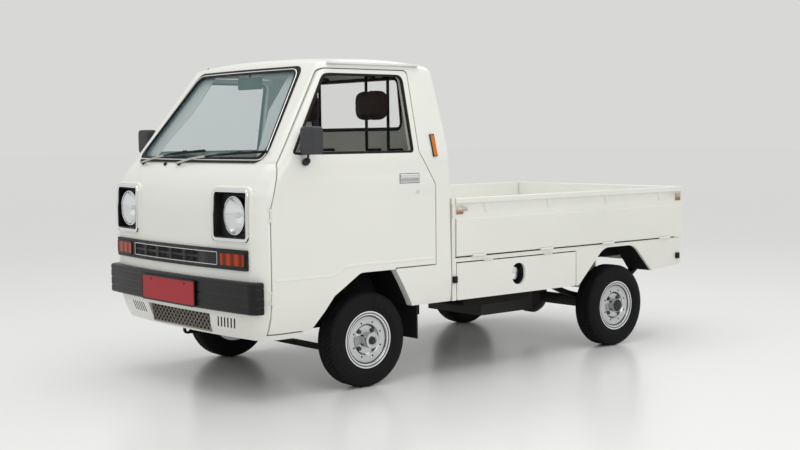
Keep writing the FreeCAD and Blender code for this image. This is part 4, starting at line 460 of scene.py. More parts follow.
screen_glass = new_glass("screen_glass", (0.21, 0.35, 0.37), 0.23, 0.7)
side_glass = new_glass("side_glass", (0.10, 0.12, 0.12), 0.02, 0.12)
lamp_glass = new_glass("lamp_glass", (0.90, 0.93, 0.94), 0.13, 0.7)
reflector = new_finish("reflector", (0.86, 0.87, 0.88), 0.16, 0.05, metal=1.0)
marker_amber = new_finish("marker_amber", (0.62, 0.17, 0.010), 0.16, 0.2, shine=0.4)
amber = new_finish("amber_lens", (0.15, 0.012, 0.002), 0.16, 0.2, shine=0.22)
# For both lenses the last colour is the painted highlight on the crests of the ribs.
add_ribs_and_painted_highlights(amber, 0.058, 0.0015, (0.42, 0.050, 0.003))
red_lens = new_finish("red_lens", (0.40, 0.012, 0.012), 0.18, 0.1, coat=0.5)
add_ribs_and_painted_highlights(red_lens, 0.012, 0.0015, (0.50, 0.020, 0.015))
print("lenses ready")

# %% [markdown]
# Every part of the frame gets the finish of its material slot. Parts whose own finish differs
# from their slot's are named one by one afterwards.

# %% Finishes for all parts of the frame
FINISH_OF_SLOT = {
    "body_paint": enamel, "bed_paint": bed_enamel, "cabin_paint": cabin_enamel,
    "black_paint": chassis_black, "wheel_steel": wheel_silver,
    "charcoal_plastic": charcoal, "black_plastic": black_plastic, "rubber": rubber,
    "tyre": tyre_rubber, "glass": side_glass, "lamp_glass": lamp_glass, "amber": amber,
    "red_lamp": red_lens, "plate": plate_red, "seat_cover": seat_vinyl, "steel": bare_steel,
    "cast": cast_iron,
}
SLOT_OF_NODE = {part["node"]: part["material_slot"] for part in frame["record"]["subparts"]}
BODIES = frame["record"]["behaviour"]["bodies"]
BODY_OF_NODE = {node: body for body, group in BODIES.items() for node in group}


def paint(node, material):
    """Gives a part of the frame one finish."""
    nodes[node].data.materials.clear()
    nodes[node].data.materials.append(material)


for node in nodes:
    paint(node, FINISH_OF_SLOT[SLOT_OF_NODE[node]])
paint("windscreen", screen_glass)
paint("headboard", bed_enamel)
print("finished parts", len(nodes))

# %% [markdown]
# Trim lies on the truck's own surfaces, so those surfaces are written down once. The face of the
# cab bows gently across, tucks under below half a metre, stands upright to 0.88 m and then curls
# back into the slanted screen. The sides stand upright to the belt and lean in above it. Where a
# part stands proud of them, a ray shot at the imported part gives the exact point.

# %% The truck's surfaces as formulas
BOW_RADIUS = 4.784
FLAT_HALF, CORNER_EASE = 0.6025, 0.095
CURL, CURL_START, CURL_RISE, CURL_POWER = 0.107, 0.88, 0.235, 2.3
TUCK, TUCK_START, TUCK_FALL = 0.045, 0.5, 0.205
COWL_HEIGHT, SCREEN_RUN = 1.115, 0.749
BELT_HEIGHT, BELT_EASE, FLANK_LEAN = 1.14, 0.045, 0.2276
FAR = 1.5
SKINS = {}


def curl_at(z):
    """How far the face curls back: a power of the share of the way up to the cowl."""
    return CURL * np.clip((z - CURL_START) / CURL_RISE, 0, 1) ** CURL_POWER


def face_depth(x, z):
    """Depth of the cab's face: a bow x squared over twice its radius, a round corner, the curl,
    a tuck with the square of the depth below half a metre, and the straight slope of the screen
    above the cowl."""
    x, z = np.asarray(x, float), np.asarray(z, float)
    bow = np.minimum(np.abs(x), FLAT_HALF) ** 2 / (2 * BOW_RADIUS)
    turn = np.clip((np.abs(x) - FLAT_HALF) / CORNER_EASE, 0, 0.98)
    corner = CORNER_EASE * (1 - np.sqrt(1 - turn ** 2))
    tuck = TUCK * np.clip((TUCK_START - z) / TUCK_FALL, 0, 1) ** 2
    return FACE + bow + corner + curl_at(z) + tuck + SCREEN_RUN * np.clip(z - COWL_HEIGHT, 0, 1)


def flank(z):
    """Half width of the cab: upright, then leaning in, with a parabola as bend at the belt."""
    rise = np.asarray(z, float) - BELT_HEIGHT
    bend = np.clip(rise + BELT_EASE, 0, 2 * BELT_EASE) ** 2 / (4 * BELT_EASE)
    return SIDE - FLANK_LEAN * (bend + np.clip(rise - BELT_EASE, 0, None))


def touch(node, start, way):
    """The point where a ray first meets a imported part."""
    if node not in SKINS:
        mesh = nodes[node].data
        corners, faces = [v.co for v in mesh.vertices], [f.vertices for f in mesh.polygons]
        SKINS[node] = BVHTree.FromPolygons(corners, faces)
    return SKINS[node].ray_cast(Vector(start), Vector(way))[0]


def skin_x(node, y, z, hand):
    """X of a part's outer skin, where a ray from the side meets it, or the cab's flat side."""
    hit = touch(node, (hand * FAR, y, z), (-hand, 0, 0))
    return hit.x if hit else hand * SIDE


def on_face(flat, lift):
    """Points (x, z) laid on the cab's face and lifted off it by a distance along -Y."""
    flat = np.asarray(flat, float)
    return in_space(flat, face_depth(flat[:, 0], flat[:, 1]) - lift)


def face_loop(x0, x1, z0, z1, ease, lift, count):
    """A rounded rectangle seen from the front, laid on the cab's face."""
    return on_face(rounded_rectangle(x0, x1, z0, z1, ease, count), lift)


print("door skin", round(skin_x("door_left", -0.7, 1.0, 1), 4))
print("cowl", round(float(face_depth(0, COWL_HEIGHT)), 4))

# %% [markdown]
# Pressed sheet has soft edges that catch the light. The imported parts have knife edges, so the
# panels that show get a copy whose doubles are merged, whose shading is smooth up to an angle,
# and whose edges are rolled by a Bevel modifier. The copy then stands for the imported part.

# %% Panels with soft edges
def dress(node, material=None, bevel=0.0015, angle=32, second=None, where=None):
    """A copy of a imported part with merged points, smooth shading and rolled edges. The faces that
    a rule picks, from their centres and normals, may take a second finish."""
    source = nodes[node]
    mesh = source.data.copy()
    mesh.name = node + "_skin"
    piece = in_scene(mesh.name, mesh)
    merge_points(mesh, copied=True)
    mesh.shade_smooth()
    mesh.set_sharp_from_angle(angle=math.radians(angle))
    if bevel:
        roll = piece.modifiers.new("rolled edges", "BEVEL")
        roll.width = bevel
        roll.segments = 2
        roll.limit_method = "ANGLE"
        roll.angle_limit = math.radians(angle)
        roll.harden_normals = True
    mesh.materials.clear()
    mesh.materials.append(material or source.data.materials[0])
    if second:
        mesh.materials.append(second)
        facing, middle = np.zeros((2, len(mesh.polygons) * 3))
        mesh.polygons.foreach_get("normal", facing)
        mesh.polygons.foreach_get("center", middle)
        picked = where(middle.reshape(-1, 3), facing.reshape(-1, 3))
        mesh.polygons.foreach_set("material_index", picked.astype(np.int32))
    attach(piece, BODY_OF_NODE[node])
    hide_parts(node)


CAB_MIDDLE, INWARD = (0, -0.9, 1.2), 0.25
SLOT_TOP, SLOT_NEAR, SLOT_FAR, SLOT_DEEP = 0.42, 0.30, 0.56, 0.0015
CAP_OUT, CAP_PLACE, CAP_ROUND = 0.629, (0.169, 0.489), 0.0346
MESH_BELOW, MARKERS_ABOVE = 0.45, 0.9


def inside_cab(middle, facing):
    """Faces whose normal points towards the middle of the cab."""
    inward = np.array(CAB_MIDDLE) - middle
    inward /= np.linalg.norm(inward, axis=1, keepdims=True)
    return (facing * inward).sum(axis=1) > INWARD


def sunk_slots(middle, facing):
    """Faces of the small slots beside the lower inlet: they lie deeper than the panel's face."""
    x, y, z = middle.T
    beside = (np.abs(x) > SLOT_NEAR) & (np.abs(x) < SLOT_FAR)
    return (z < SLOT_TOP) & beside & (y > face_depth(x, z) + SLOT_DEEP)


def filler_cap(middle, facing):
    """The round face of the filler's cap, which lies outside its cup."""
    x, y, z = middle.T
    return (x > CAP_OUT) & (np.hypot(y - CAP_PLACE[0], z - CAP_PLACE[1]) < CAP_ROUND)


PANELS = ["wheelhouses", "mudflaps", "side_gate_left", "side_gate_right", "tailgate", "headboard",
          "bed_aprons", "service_flap", "bed_floor", "windscreen_rubber", "dashboard", "cab_floor"]
for node in PANELS:
    dress(node)
for node in ("cab_pillars", "cab_back_panel", "cab_roof", "door_left", "door_right"):
    dress(node, second=inner_enamel, where=inside_cab)
dress("cab_front_panel", second=black_plastic, where=sunk_slots)
dress("front_grilles", bevel=0, second=mesh_grey, where=lambda middle, facing: middle[:, 2] < MESH_BELOW)
dress("fuel_filler", bevel=0.0008, second=chrome, where=filler_cap)
for corner in ("front_left", "rear_left", "front_right", "rear_right"):
    dress(f"wheel_{corner}", bevel=0.0008)
dress("steering_wheel", bevel=0, angle=65)
dress("amber_lamps", bevel=0.0012, second=marker_amber,
      where=lambda middle, facing: middle[:, 2] > MARKERS_ABOVE)
dress("hinges", bed_enamel, bevel=0.0005)

# %% [markdown]
# The tyre is a profile turned about the axle. Tread is a height field on the crown: five grooves
# run round the tyre, and slanting cross cuts repeat along it. Both are conditions on the angle and
# the place across the width, so the whole pattern is one formula over the grid.

# %% Tyres with tread
HUB_REACH = {"front": 0.034, "rear": 0.012}
AXLES = [(end, axle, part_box(f"wheel_{end}_left")[1].x - HUB_REACH[end])
         for end, axle in (("front", FRONT_AXLE), ("rear", REAR_AXLE))]
TYRE_INSET = 0.055
HALF_TREAD = 0.0525
CROWN_DROP, SHOULDER_DROP = 0.0015, 0.0055
SHOULDER_START = 0.8
LANES, GROOVE_DEPTH, GROOVE_SHARE, GROOVE_END = 2.5, 0.007, 0.075, 0.9
CUTS, CUT_SHARE, CUT_SLANT, CUT_START, CUT_DEPTH = 66, 0.17, 1.6, 0.12, 0.75
STEPS = 8 * CUTS
WALL = np.array([
    (0.0555, 0.2265), (0.0600, 0.2195), (0.0640, 0.2105), (0.0652, 0.2095), (0.0668, 0.2030),
    (0.0690, 0.1925), (0.0695, 0.1820), (0.0686, 0.1720), (0.0693, 0.1705), (0.0680, 0.1680),
    (0.0664, 0.1660), (0.0630, 0.1570), (0.0590, 0.1490), (0.0572, 0.1450), (0.0557, 0.1438),
    (0.0498, 0.1436), (0.0492, 0.1280)])


def tyre_shape(outer, centre):
    """Radius over the angle and across the width: a nearly flat crown less the tread's grooves,
    and walls that bulge past the rim's flange and tuck in behind it."""
    half = np.linspace(-1, 1, 61)
    angle = np.linspace(0, 2 * np.pi, STEPS, endpoint=False)
    shoulder = np.clip((np.abs(half) - SHOULDER_START) / (1 - SHOULDER_START), 0, 1)
    crown = outer - CROWN_DROP * half ** 2 - SHOULDER_DROP * shoulder
    lanes = np.abs(((half * LANES + 0.5) % 1) - 0.5)
    groove = (lanes < GROOVE_SHARE) & (np.abs(half) < GROOVE_END)
    wave = ((angle[:, None] * CUTS / (2 * np.pi)) + CUT_SLANT * np.abs(half)[None, :]) % 1
    sipe = (wave < CUT_SHARE) & (np.abs(half)[None, :] > CUT_START)
    tread = crown[None, :] - GROOVE_DEPTH * np.maximum(groove[None, :] * 1.0, sipe * CUT_DEPTH)
    x = centre[0] + np.concatenate([-WALL[::-1, 0], half * HALF_TREAD, WALL[:, 0]])
    outer_wall = np.broadcast_to(WALL[:, 1], (STEPS, len(WALL)))
    radius = np.concatenate([outer_wall[:, ::-1], tread, outer_wall], axis=1)
    points = np.stack([
        np.broadcast_to(x, radius.shape),
        centre[1] + radius * np.cos(angle)[:, None],
        centre[2] + radius * np.sin(angle)[:, None]], axis=-1)
    return points.reshape(-1, 3), grid_faces(*radius.shape, wrap_rows=True, wrap_columns=True)


for end, axle, flange in AXLES:
    for side, hand in SIDES:
        shape = tyre_shape(TYRE_RADIUS, (hand * (flange - TYRE_INSET), axle, TYRE_RADIUS))
        wheel = f"wheel_{end}_{side}"
        tyre = mesh_piece(f"tread_{end}_{side}", [shape], tyre_rubber, wheel)
        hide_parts(f"tyre_{end}_{side}")
print("tyre triangles", 2 * len(shape[1]))

# %% [markdown]
# Each headlamp sits in a black collar with a chrome rim, inside a soft swage of the panel. The
# lens is a dome with upright flutes pressed into it, and behind it a polished bowl throws the
# light back. The flutes are a cosine across the lens that fades out towards its edge, so they are
# one more term in the dome's formula.

# %% Headlamps
LAMP_HALF, LAMP_FACE, LAMP_HEIGHT = 0.5, -1.5175, 0.876
LAMP_RADIUS = 0.086
BOWL_SET_BACK = 0.004
LENS_CROWN, LENS_THICK = 0.0155, 0.003
FLUTE_PITCH, FLUTE_DEPTH, FLUTE_END, FLUTE_FADE = 0.0095, 0.0011, 0.97, 0.08
BOWL_DEEP, BOWL_CURVE, BOWL_THICK, BOWL_FOOT = 0.052, 0.056, 0.003, 0.050
RIM = (0.3655, 0.6175, 0.7635, 0.9925, 0.024)
CURL_LEFT_OUT = 0.66


def lens_dome(centre):
    """Front: crown times one less the square of the radius share, plus a rippled flute term.
    Back: the same dome without flutes, set back by the thickness."""
    share = np.linspace(0, 1, 28)
    front = np.arange(2 * len(share)) < len(share)
    share = np.concatenate([share, share[::-1]])
    turn = np.linspace(0, 2 * np.pi, 144, endpoint=False)
    x = LAMP_RADIUS * share * np.cos(turn)[:, None]
    z = LAMP_RADIUS * share * np.sin(turn)[:, None]
    fade = np.clip((FLUTE_END - share) / FLUTE_FADE, 0, 1)
    flute = FLUTE_DEPTH * np.cos(2 * np.pi * x / FLUTE_PITCH) * fade
    y = -LENS_CROWN * (1 - share ** 2) - flute * front + np.where(front, 0, LENS_THICK)
    points = np.stack([centre[0] + x, centre[1] + y, centre[2] + z], axis=-1)
    return points.reshape(-1, 3), grid_faces(len(turn), len(share), wrap_rows=True)


def rim_loop(hand, grow, lift):
    """The outline of a headlamp rim, grown by a distance. It stays upright although the cab's
    face curls back behind it: two thirds of that curl are left out."""
    inner, outer, low, high, ease = RIM
    flat = rounded_rectangle(hand * (inner - grow), hand * (outer + grow), low - grow, high + grow,
                             ease + grow, 200)
    loop = on_face(flat, lift)
    loop[:, 1] -= CURL_LEFT_OUT * curl_at(flat[:, 1])
    return loop


share = np.linspace(0.16, 0.985, 18)
bowl = np.stack([BOWL_DEEP - BOWL_CURVE * share ** 2, LAMP_RADIUS * share], axis=1)
outside = bowl[::-1] + (BOWL_THICK, 0)
bowl = np.concatenate([[[BOWL_FOOT, 0]], bowl, outside, [[BOWL_DEEP + BOWL_THICK, 0]]])
ring = [(-0.004, 0.0862), (-0.004, 0.0905), (0.006, 0.0905), (0.006, 0.0862)]
bulb = [(0.006, 0.0), (0.006, 0.011), (0.010, 0.0135), (0.030, 0.0135), (0.032, 0.0)]
lenses, bowls, rings, rims, collars, swages = ([] for _ in range(6))
for hand in (1, -1):
    centre = (hand * LAMP_HALF, LAMP_FACE, LAMP_HEIGHT)
    lenses.append(lens_dome(centre))
    bowl_centre = (hand * LAMP_HALF, LAMP_FACE + BOWL_SET_BACK, LAMP_HEIGHT)
    bowls.append(lathe(bowl, bowl_centre, BEHIND, 72))
    rings.append(lathe(ring, centre, BEHIND, 96, closed=True))
    rings.append(lathe(bulb, centre, BEHIND, 32))
    for group, grow, lift, section in (
        (rims, 0.0, 0.006, soft_box(0.0125, 0.0175, 0.0055)),
        (collars, 0.001, -0.009, soft_box(0.026, 0.014, 0.004)),
        (swages, 0.009, -0.009, soft_box(0.026, 0.026, 0.012, 6)),
    ):
        group.append(tube(rim_loop(hand, grow, lift), AHEAD, section, closed=True))
lens = mesh_piece("headlamp_lenses", lenses, lamp_glass)
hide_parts("headlamps")
mesh_piece("headlamp_bowls", bowls, reflector)
mesh_piece("headlamp_rings", rings, chrome)
mesh_piece("bezel_rims", rims, chrome)
mesh_piece("bezel_collars", collars, black_plastic)
mesh_piece("bezel_swages", swages, enamel)
print("headlamp pieces", 6)

# %% [markdown]
# The band below the headlamps carries a thin bright line that runs once round the slots, and a
# black frame round each amber signal. Both are rounded rectangles laid on the same face formula.
# A dark sheet behind the lower inlet keeps the light out of its mesh.

# %% Band line and signal frames
BAND, BAND_EASE, BAND_LIFT = (-0.387, 0.400, 0.643, 0.703), 0.006, 0.0123
SIGNAL, SIGNAL_EASE, SIGNAL_LIFT = (0.4255, 0.6065, 0.6395, 0.7045), 0.012, 0.0125
band = face_loop(*BAND, BAND_EASE, BAND_LIFT, 260)
band_line = tube(band, AHEAD, soft_box(0.0014, 0.0032, 0.0006), closed=True)
mesh_piece("band_line", [band_line], chrome)
frames = []
for hand in (1, -1):
    near, far, foot, top = SIGNAL
    loop = face_loop(hand * near, hand * far, foot, top, SIGNAL_EASE, SIGNAL_LIFT, 140)
    frames.append(tube(loop, AHEAD, soft_box(0.010, 0.008, 0.002), closed=True))
mesh_piece("signal_frames", frames, black_plastic)
SHADE_HALF, SHADE_BACK, SHADE_FOOT, SHADE_TOP = 0.300, 0.060, 0.302, 0.410
shade = block((-SHADE_HALF, FACE + SHADE_BACK, SHADE_FOOT),
              (SHADE_HALF, FACE + SHADE_BACK + 0.003, SHADE_TOP))
mesh_piece("inlet_shade", [shade], hub_black_and_painted_shade)
print("signal frames", len(frames))

# %% [markdown]
# The bumper is one moulded section carried along its bowed line and round both corners. Its outer
# face has three soft grooves, each a bell-shaped dip, and its edges are rounded.

# %% Bumper
BUMPER_LOW, BUMPER_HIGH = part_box("front_bumper")
BUMPER_DEEP = 0.046
CORNER = 0.052
BOW = 0.034
EDGE = 0.012
DIP_PLACES = (0.25, 0.53, 0.81)
DIP_WIDTH, DIP_DEPTH = 0.0032, 0.0026


def bumper_line(front, end):
    """The outer line in plan. Each half runs from its end at the side to the middle: a straight,
    a quarter circle and a flat arc that goes with the square of x."""
    reach = SIDE - CORNER
    turn = np.linspace(0, -np.pi / 2, 14)
    side = np.stack([np.full(5, SIDE), np.linspace(end, front + BOW + CORNER, 6)[:-1]], axis=1)
    bend = (reach, front + BOW + CORNER) + CORNER * np.stack([np.cos(turn), np.sin(turn)], axis=1)
    x = np.linspace(reach, 0, 22)[1:]
    face = np.stack([x, front + BOW * (x / reach) ** 2], axis=1)
    half = np.concatenate([side, bend, face])
    return np.concatenate([half, half[-2::-1] * (-1, 1)])


def bumper_section(deep, high):
    """Across the bar: a flat back, and a face with rounded edges less three bell-shaped dips."""
    v = np.linspace(-high / 2, high / 2, 81)
    edge = np.clip((np.abs(v) - high / 2 + EDGE) / EDGE, 0, 1)
    dips = sum(np.exp(-((v - (share - 0.5) * high) / DIP_WIDTH) ** 2) for share in DIP_PLACES)
    u = deep / 2 - EDGE * (1 - np.sqrt(1 - edge ** 2)) - DIP_DEPTH * dips
    back_face = [[-deep / 2, high / 2], [-deep / 2, -high / 2]]
    return np.concatenate([np.stack([u, v], axis=1), back_face])


outer_line = bumper_line(BUMPER_LOW.y, BUMPER_HIGH.y)
along = np.gradient(outer_line, axis=0)
normal = np.stack([along[:, 1], -along[:, 0]], axis=1) / np.linalg.norm(along, axis=1, keepdims=True)
normal *= np.sign((normal * (outer_line - (0, FACE + 0.5))).sum(axis=1, keepdims=True))
middle_line = outer_line - normal * BUMPER_DEEP / 2
path = np.column_stack([middle_line, np.full(len(middle_line), middle_of("front_bumper", 2))])
outward = np.column_stack([normal, np.zeros(len(normal))])
section = bumper_section(BUMPER_DEEP, BUMPER_HIGH.z - BUMPER_LOW.z)
bumper = mesh_piece("bumper_bar", [tube(path, outward, section)], charcoal)
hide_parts("front_bumper")
print("bumper", [round(value, 4) for value in (*BUMPER_LOW, *BUMPER_HIGH)])

# %% [markdown]
# The front plate is blank and red, held in a dark frame by two bolts. The red sheet lies a little
# behind the frame's lip, as on the truck, so the lip throws a thin shadow on it.

# %% Front plate
PLATE_LOW, PLATE_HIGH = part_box("front_plate")
MARGIN = 0.004
SHEET_BACK, BOLT_BACK, LIP_BACK = 0.0020, 0.0021, 0.0038
BOLT_PLACE, BOLT_DROP = 0.16, 0.022
low, high = PLATE_LOW + Vector.Fill(3, MARGIN), PLATE_HIGH - Vector.Fill(3, MARGIN)
sheet = block((low.x, NOSE + SHEET_BACK, low.z), (high.x, PLATE_HIGH.y, high.z))
plate_sheet = mesh_piece("plate_sheet", [sheet], plate_red)
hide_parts("front_plate")
loop = in_space(rounded_rectangle(low.x, high.x, low.z, high.z, 0.006, 120), NOSE + LIP_BACK)
parts = [tube(loop, AHEAD, soft_box(0.0074, 0.008, 0.002), closed=True)]
head = [(0, 0), (0, 0.007), (0.0014, 0.0055), (0.0018, 0)]
for x in (-BOLT_PLACE, BOLT_PLACE):
    parts.append(lathe(head, (x, NOSE + BOLT_BACK, PLATE_HIGH.z - BOLT_DROP), AHEAD, 20))
mesh_piece("plate_lip", parts, black_plastic)
print("plate", [round(value, 3) for value in (*PLATE_LOW, *PLATE_HIGH)])

# %% [markdown]
# A bright insert strip is pressed into the windscreen's rubber, each side window has a dark rubber
# run, and the rear window sits in a wide one. The strips follow the same four-cornered outlines as
# the openings, shrunk a little.

# %% Window strips
SCREEN_CORNERS = [(-0.5895, 1.1325, 0.05), (0.5895, 1.1325, 0.05),
                  (0.4515, 1.5685, 0.05), (-0.4515, 1.5685, 0.05)]
WINDOW_CORNERS = [(-1.3105, 1.1600, 0.014), (-0.5810, 1.1600, 0.014),
                  (-0.5810, 1.5370, 0.034), (-1.0640, 1.5370, 0.034)]
INSERT_LIFT, RUN_INSET = 0.0078, 0.006
REAR_HALF, REAR_EDGE, REAR_EASE, REAR_SLACK = 0.390, 0.006, 0.045, 0.005
outline = rounded_outline(SCREEN_CORNERS, 320)
insert = tube(on_face(outline, INSERT_LIFT), OFF_SCREEN, oval(0.004, 0.0065, 10), closed=True)
mesh_piece("screen_insert", [insert], chrome)
window = rounded_outline(WINDOW_CORNERS, 260)
for side, hand in SIDES:
    loop = np.stack([hand * (flank(window[:, 1]) - RUN_INSET), window[:, 0], window[:, 1]], axis=1)
    run = tube(loop, (hand, 0, 0), soft_box(0.014, 0.013, 0.004), closed=True)
    mesh_piece(f"window_run_{side}", [run], rubber, f"door_{side}")
BACK_LOW, BACK_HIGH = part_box("rear_window")
lean = (BACK_HIGH.y - BACK_LOW.y - REAR_SLACK) / (BACK_HIGH.z - BACK_LOW.z)
flat = rounded_rectangle(-REAR_HALF, REAR_HALF, BACK_LOW.z + REAR_EDGE, BACK_HIGH.z - REAR_EDGE,
                         REAR_EASE, 240)
height = flat[:, 1] - middle_of("rear_window", 2)
loop = in_space(flat, middle_of("rear_window", 1) - lean * height)
strip = tube(loop, BEHIND, soft_box(0.052, 0.020, 0.006), closed=True)
mesh_piece("rear_window_rubber", [strip], rubber)
print("window strips", 4)

# %% [markdown]
# Wipers: two silver arms rise from pivots on the cowl, each holding a black blade that lies along
# the foot of the glass. Arms and blades are tubes whose paths are lifted off the screen formula.

# %% Wipers, washer jet and aerial
OFF_FACE = (0, -1, 0.3)
ARM_LIFT, BLADE_LIFT, RAIL_LIFT, BOSS_LIFT, JET_LIFT = 0.024, 0.012, 0.021, 0.004, 0.002
JET_PLACE, AERIAL_PLACE = (-0.224, 1.106), (-0.556, -1.017, 1.590)
WIPERS = (
    ((-0.489, 1.112), (-0.330, 1.142), (-0.075, 1.171), ((-0.215, 1.158), (0.090, 1.176))),
    ((-0.087, 1.113), (0.060, 1.140), (0.400, 1.168), ((0.228, 1.156), (0.585, 1.172))),
)
BOSS = [(-0.01, 0), (-0.01, 0.014), (0.014, 0.013), (0.020, 0.008), (0.020, 0)]
arms, blades = [], []
for pivot, elbow, hold, ends in WIPERS:
    path = smooth_path(on_face([pivot, elbow, hold], ARM_LIFT), 40)
    arms.append(tube(path[:26], OFF_FACE, soft_box(0.006, 0.010, 0.002)))
    blades.append(tube(path[25:], OFF_FACE, soft_box(0.006, 0.008, 0.002)))
    blades.append(lathe(BOSS, on_face([pivot], BOSS_LIFT)[0], OFF_SCREEN, 28))
    line = np.linspace(ends[0], ends[1], 40)
    blades.append(tube(on_face(line, BLADE_LIFT), OFF_FACE, soft_box(0.014, 0.010, 0.003)))
    blades.append(tube(on_face(line[8:32], RAIL_LIFT), OFF_FACE, soft_box(0.007, 0.012, 0.003)))
    middle = on_face([hold], RAIL_LIFT)[0]
    blades.append(block(middle - (0.012, 0.006, 0.006), middle + (0.012, 0.006, 0.006)))
arm_piece = mesh_piece("wiper_arms", arms, bare_steel)
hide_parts("wipers")
jet = [(-0.006, 0), (-0.006, 0.010), (0.006, 0.009), (0.010, 0.004), (0.010, 0)]
blades.append(lathe(jet, on_face([JET_PLACE], JET_LIFT)[0], (0, -0.6, 0.8), 20))
mesh_piece("wiper_blades", blades, rubber)
aerial = [(-0.012, 0), (-0.012, 0.009), (0.006, 0.008), (0.010, 0.003), (0.046, 0.0022), (0.048, 0)]
aerial = lathe(aerial, AERIAL_PLACE, (0, 0.75, 0.6), 20)
mesh_piece("aerial", [aerial], dark_steel)
print("wiper parts", len(arms) + len(blades))

# %% [markdown]
# Wheels get what the section turned on the lathe can't have: four bolts on a square of 84 mm, a
# ring of small vents, and caps over the hubs. The vents are black discs, painted shade in place of
# holes. Bright chrome rings are painted highlights on the steps of the rim, and black rings are
# painted shade in its grooves. A ray shot at the wheel tells how deep the steel lies under each ring.

# %% Wheel bolts, caps, painted highlight rings and painted shade in grooves and vents
# Each ring: inner and outer radius, lift above the steel, and group. Bright rings are painted highlights,
# dark rings painted shade.
RINGS = ((0.1370, 0.1425, 0.0012, "bright"), (0.1295, 0.1345, 0.0008, "dark"),
         (0.1225, 0.1275, 0.0015, "bright"), (0.1140, 0.1180, 0.0008, "dark"),
         (0.0735, 0.0765, 0.0006, "dark"))
BOLT = [(-0.004, 0), (-0.004, 0.0125), (0.002, 0.0125), (0.002, 0.0095), (0.011, 0.0095),
        (0.0135, 0.0065), (0.0135, 0)]
VENT = [(-0.002, 0), (-0.002, 0.005), (0.0004, 0.005), (0.0004, 0)]
BOLT_CIRCLE, VENT_CIRCLE = 0.0594, 0.0900
CAP_RADIUS = {"front": 0.019, "rear": 0.036}
RING_ROOT, RING_EASE, BOLT_ROOT, VENT_ROOT = 0.003, 0.0006, 0.022, 0.010


def on_circle(profile, hand, x, axle, circle, angles, count):
    """One turned piece at each of several angles on a circle about an axle."""
    spots = [(hand * x, axle + circle * math.cos(turn), TYRE_RADIUS + circle * math.sin(turn))
             for turn in np.radians(angles)]
    return [lathe(profile, spot, (hand, 0, 0), count) for spot in spots]


for end, axle, flange in AXLES:
    for side, hand in SIDES:
        wheel = f"wheel_{end}_{side}"
        centre = (hand * flange, axle, TYRE_RADIUS)
        trim = {"dark": [], "bright": []}
        for inner, outer, lift, group in RINGS:
            depth = abs(skin_x(wheel, axle + (inner + outer) / 2, TYRE_RADIUS, hand)) - flange
            ring = [(depth - RING_ROOT, inner), (depth + lift, inner + RING_EASE),
                    (depth + lift, outer - RING_EASE), (depth - RING_ROOT, outer)]
            trim[group].append(lathe(ring, centre, (hand, 0, 0), 96, closed=True))
        turns = (45, 135, 225, 315)
        bolts = on_circle(BOLT, hand, flange - BOLT_ROOT, axle, BOLT_CIRCLE, turns, 6)
        # The vents: black discs, painted shade in place of holes.
        turns = np.arange(8) * 45 + 22.5
        trim["dark"] += on_circle(VENT, hand, flange - VENT_ROOT, axle, VENT_CIRCLE, turns, 16)
        reach, radius = HUB_REACH[end], CAP_RADIUS[end]
        cap = [(reach - 0.012, 0), (reach - 0.012, radius), (reach + 0.0015, radius),
               (reach + 0.003, radius * 0.8), (reach + 0.003, 0)]
        trim["dark"].append(lathe(cap, centre, (hand, 0, 0), 40))
        mesh_piece(f"wheel_bolts_{end}_{side}", bolts, dark_steel, wheel)
        # Chrome rings are painted highlights. The black pieces are painted shade in grooves and vents,
        # together with the real hub caps.
        mesh_piece(f"wheel_rings_{end}_{side}", trim["bright"], chrome, wheel)
        mesh_piece(f"wheel_darks_{end}_{side}", trim["dark"], hub_black_and_painted_shade, wheel)
print("wheel trims", 12)

# %% [markdown]
# Door trim: a chrome pull handle, a lock and the pressed crease that runs along the door. Each
# starts from a ray shot at the door, so it lies on the sheet and swings with it.

# %% Door trim
HANDLE_PLACE = (-0.61, 1.028)
HANDLE_HEIGHT, GRIP_HEIGHT, DISH_HEIGHT = 1.0275, 1.040, 1.019
GASKET_SPAN, PLATE_SPAN, GRIP_SPAN = (-0.6745, -0.5455), (-0.672, -0.548), (-0.668, -0.552)
LOCK_PLACE = (-0.558, 0.956)
LOCK = [(-0.002, 0), (-0.002, 0.012), (0.0015, 0.0115), (0.0025, 0.008), (0.0025, 0)]
CREASE = [(-1.430, 0.577), (-1.270, 0.577), (-1.106, 0.578), (-1.050, 0.597), (-0.995, 0.616),
          (-0.700, 0.617), (-0.352, 0.617)]


def side_bar(hand, x, y0, y1, z, deep, high, ease):
    """A short bar along the side: a rounded section carried straight from y0 to y1."""
    path = np.linspace((x, y0, z), (x, y1, z), 6)
    return tube(path, (hand, 0, 0), soft_box(deep, high, ease))


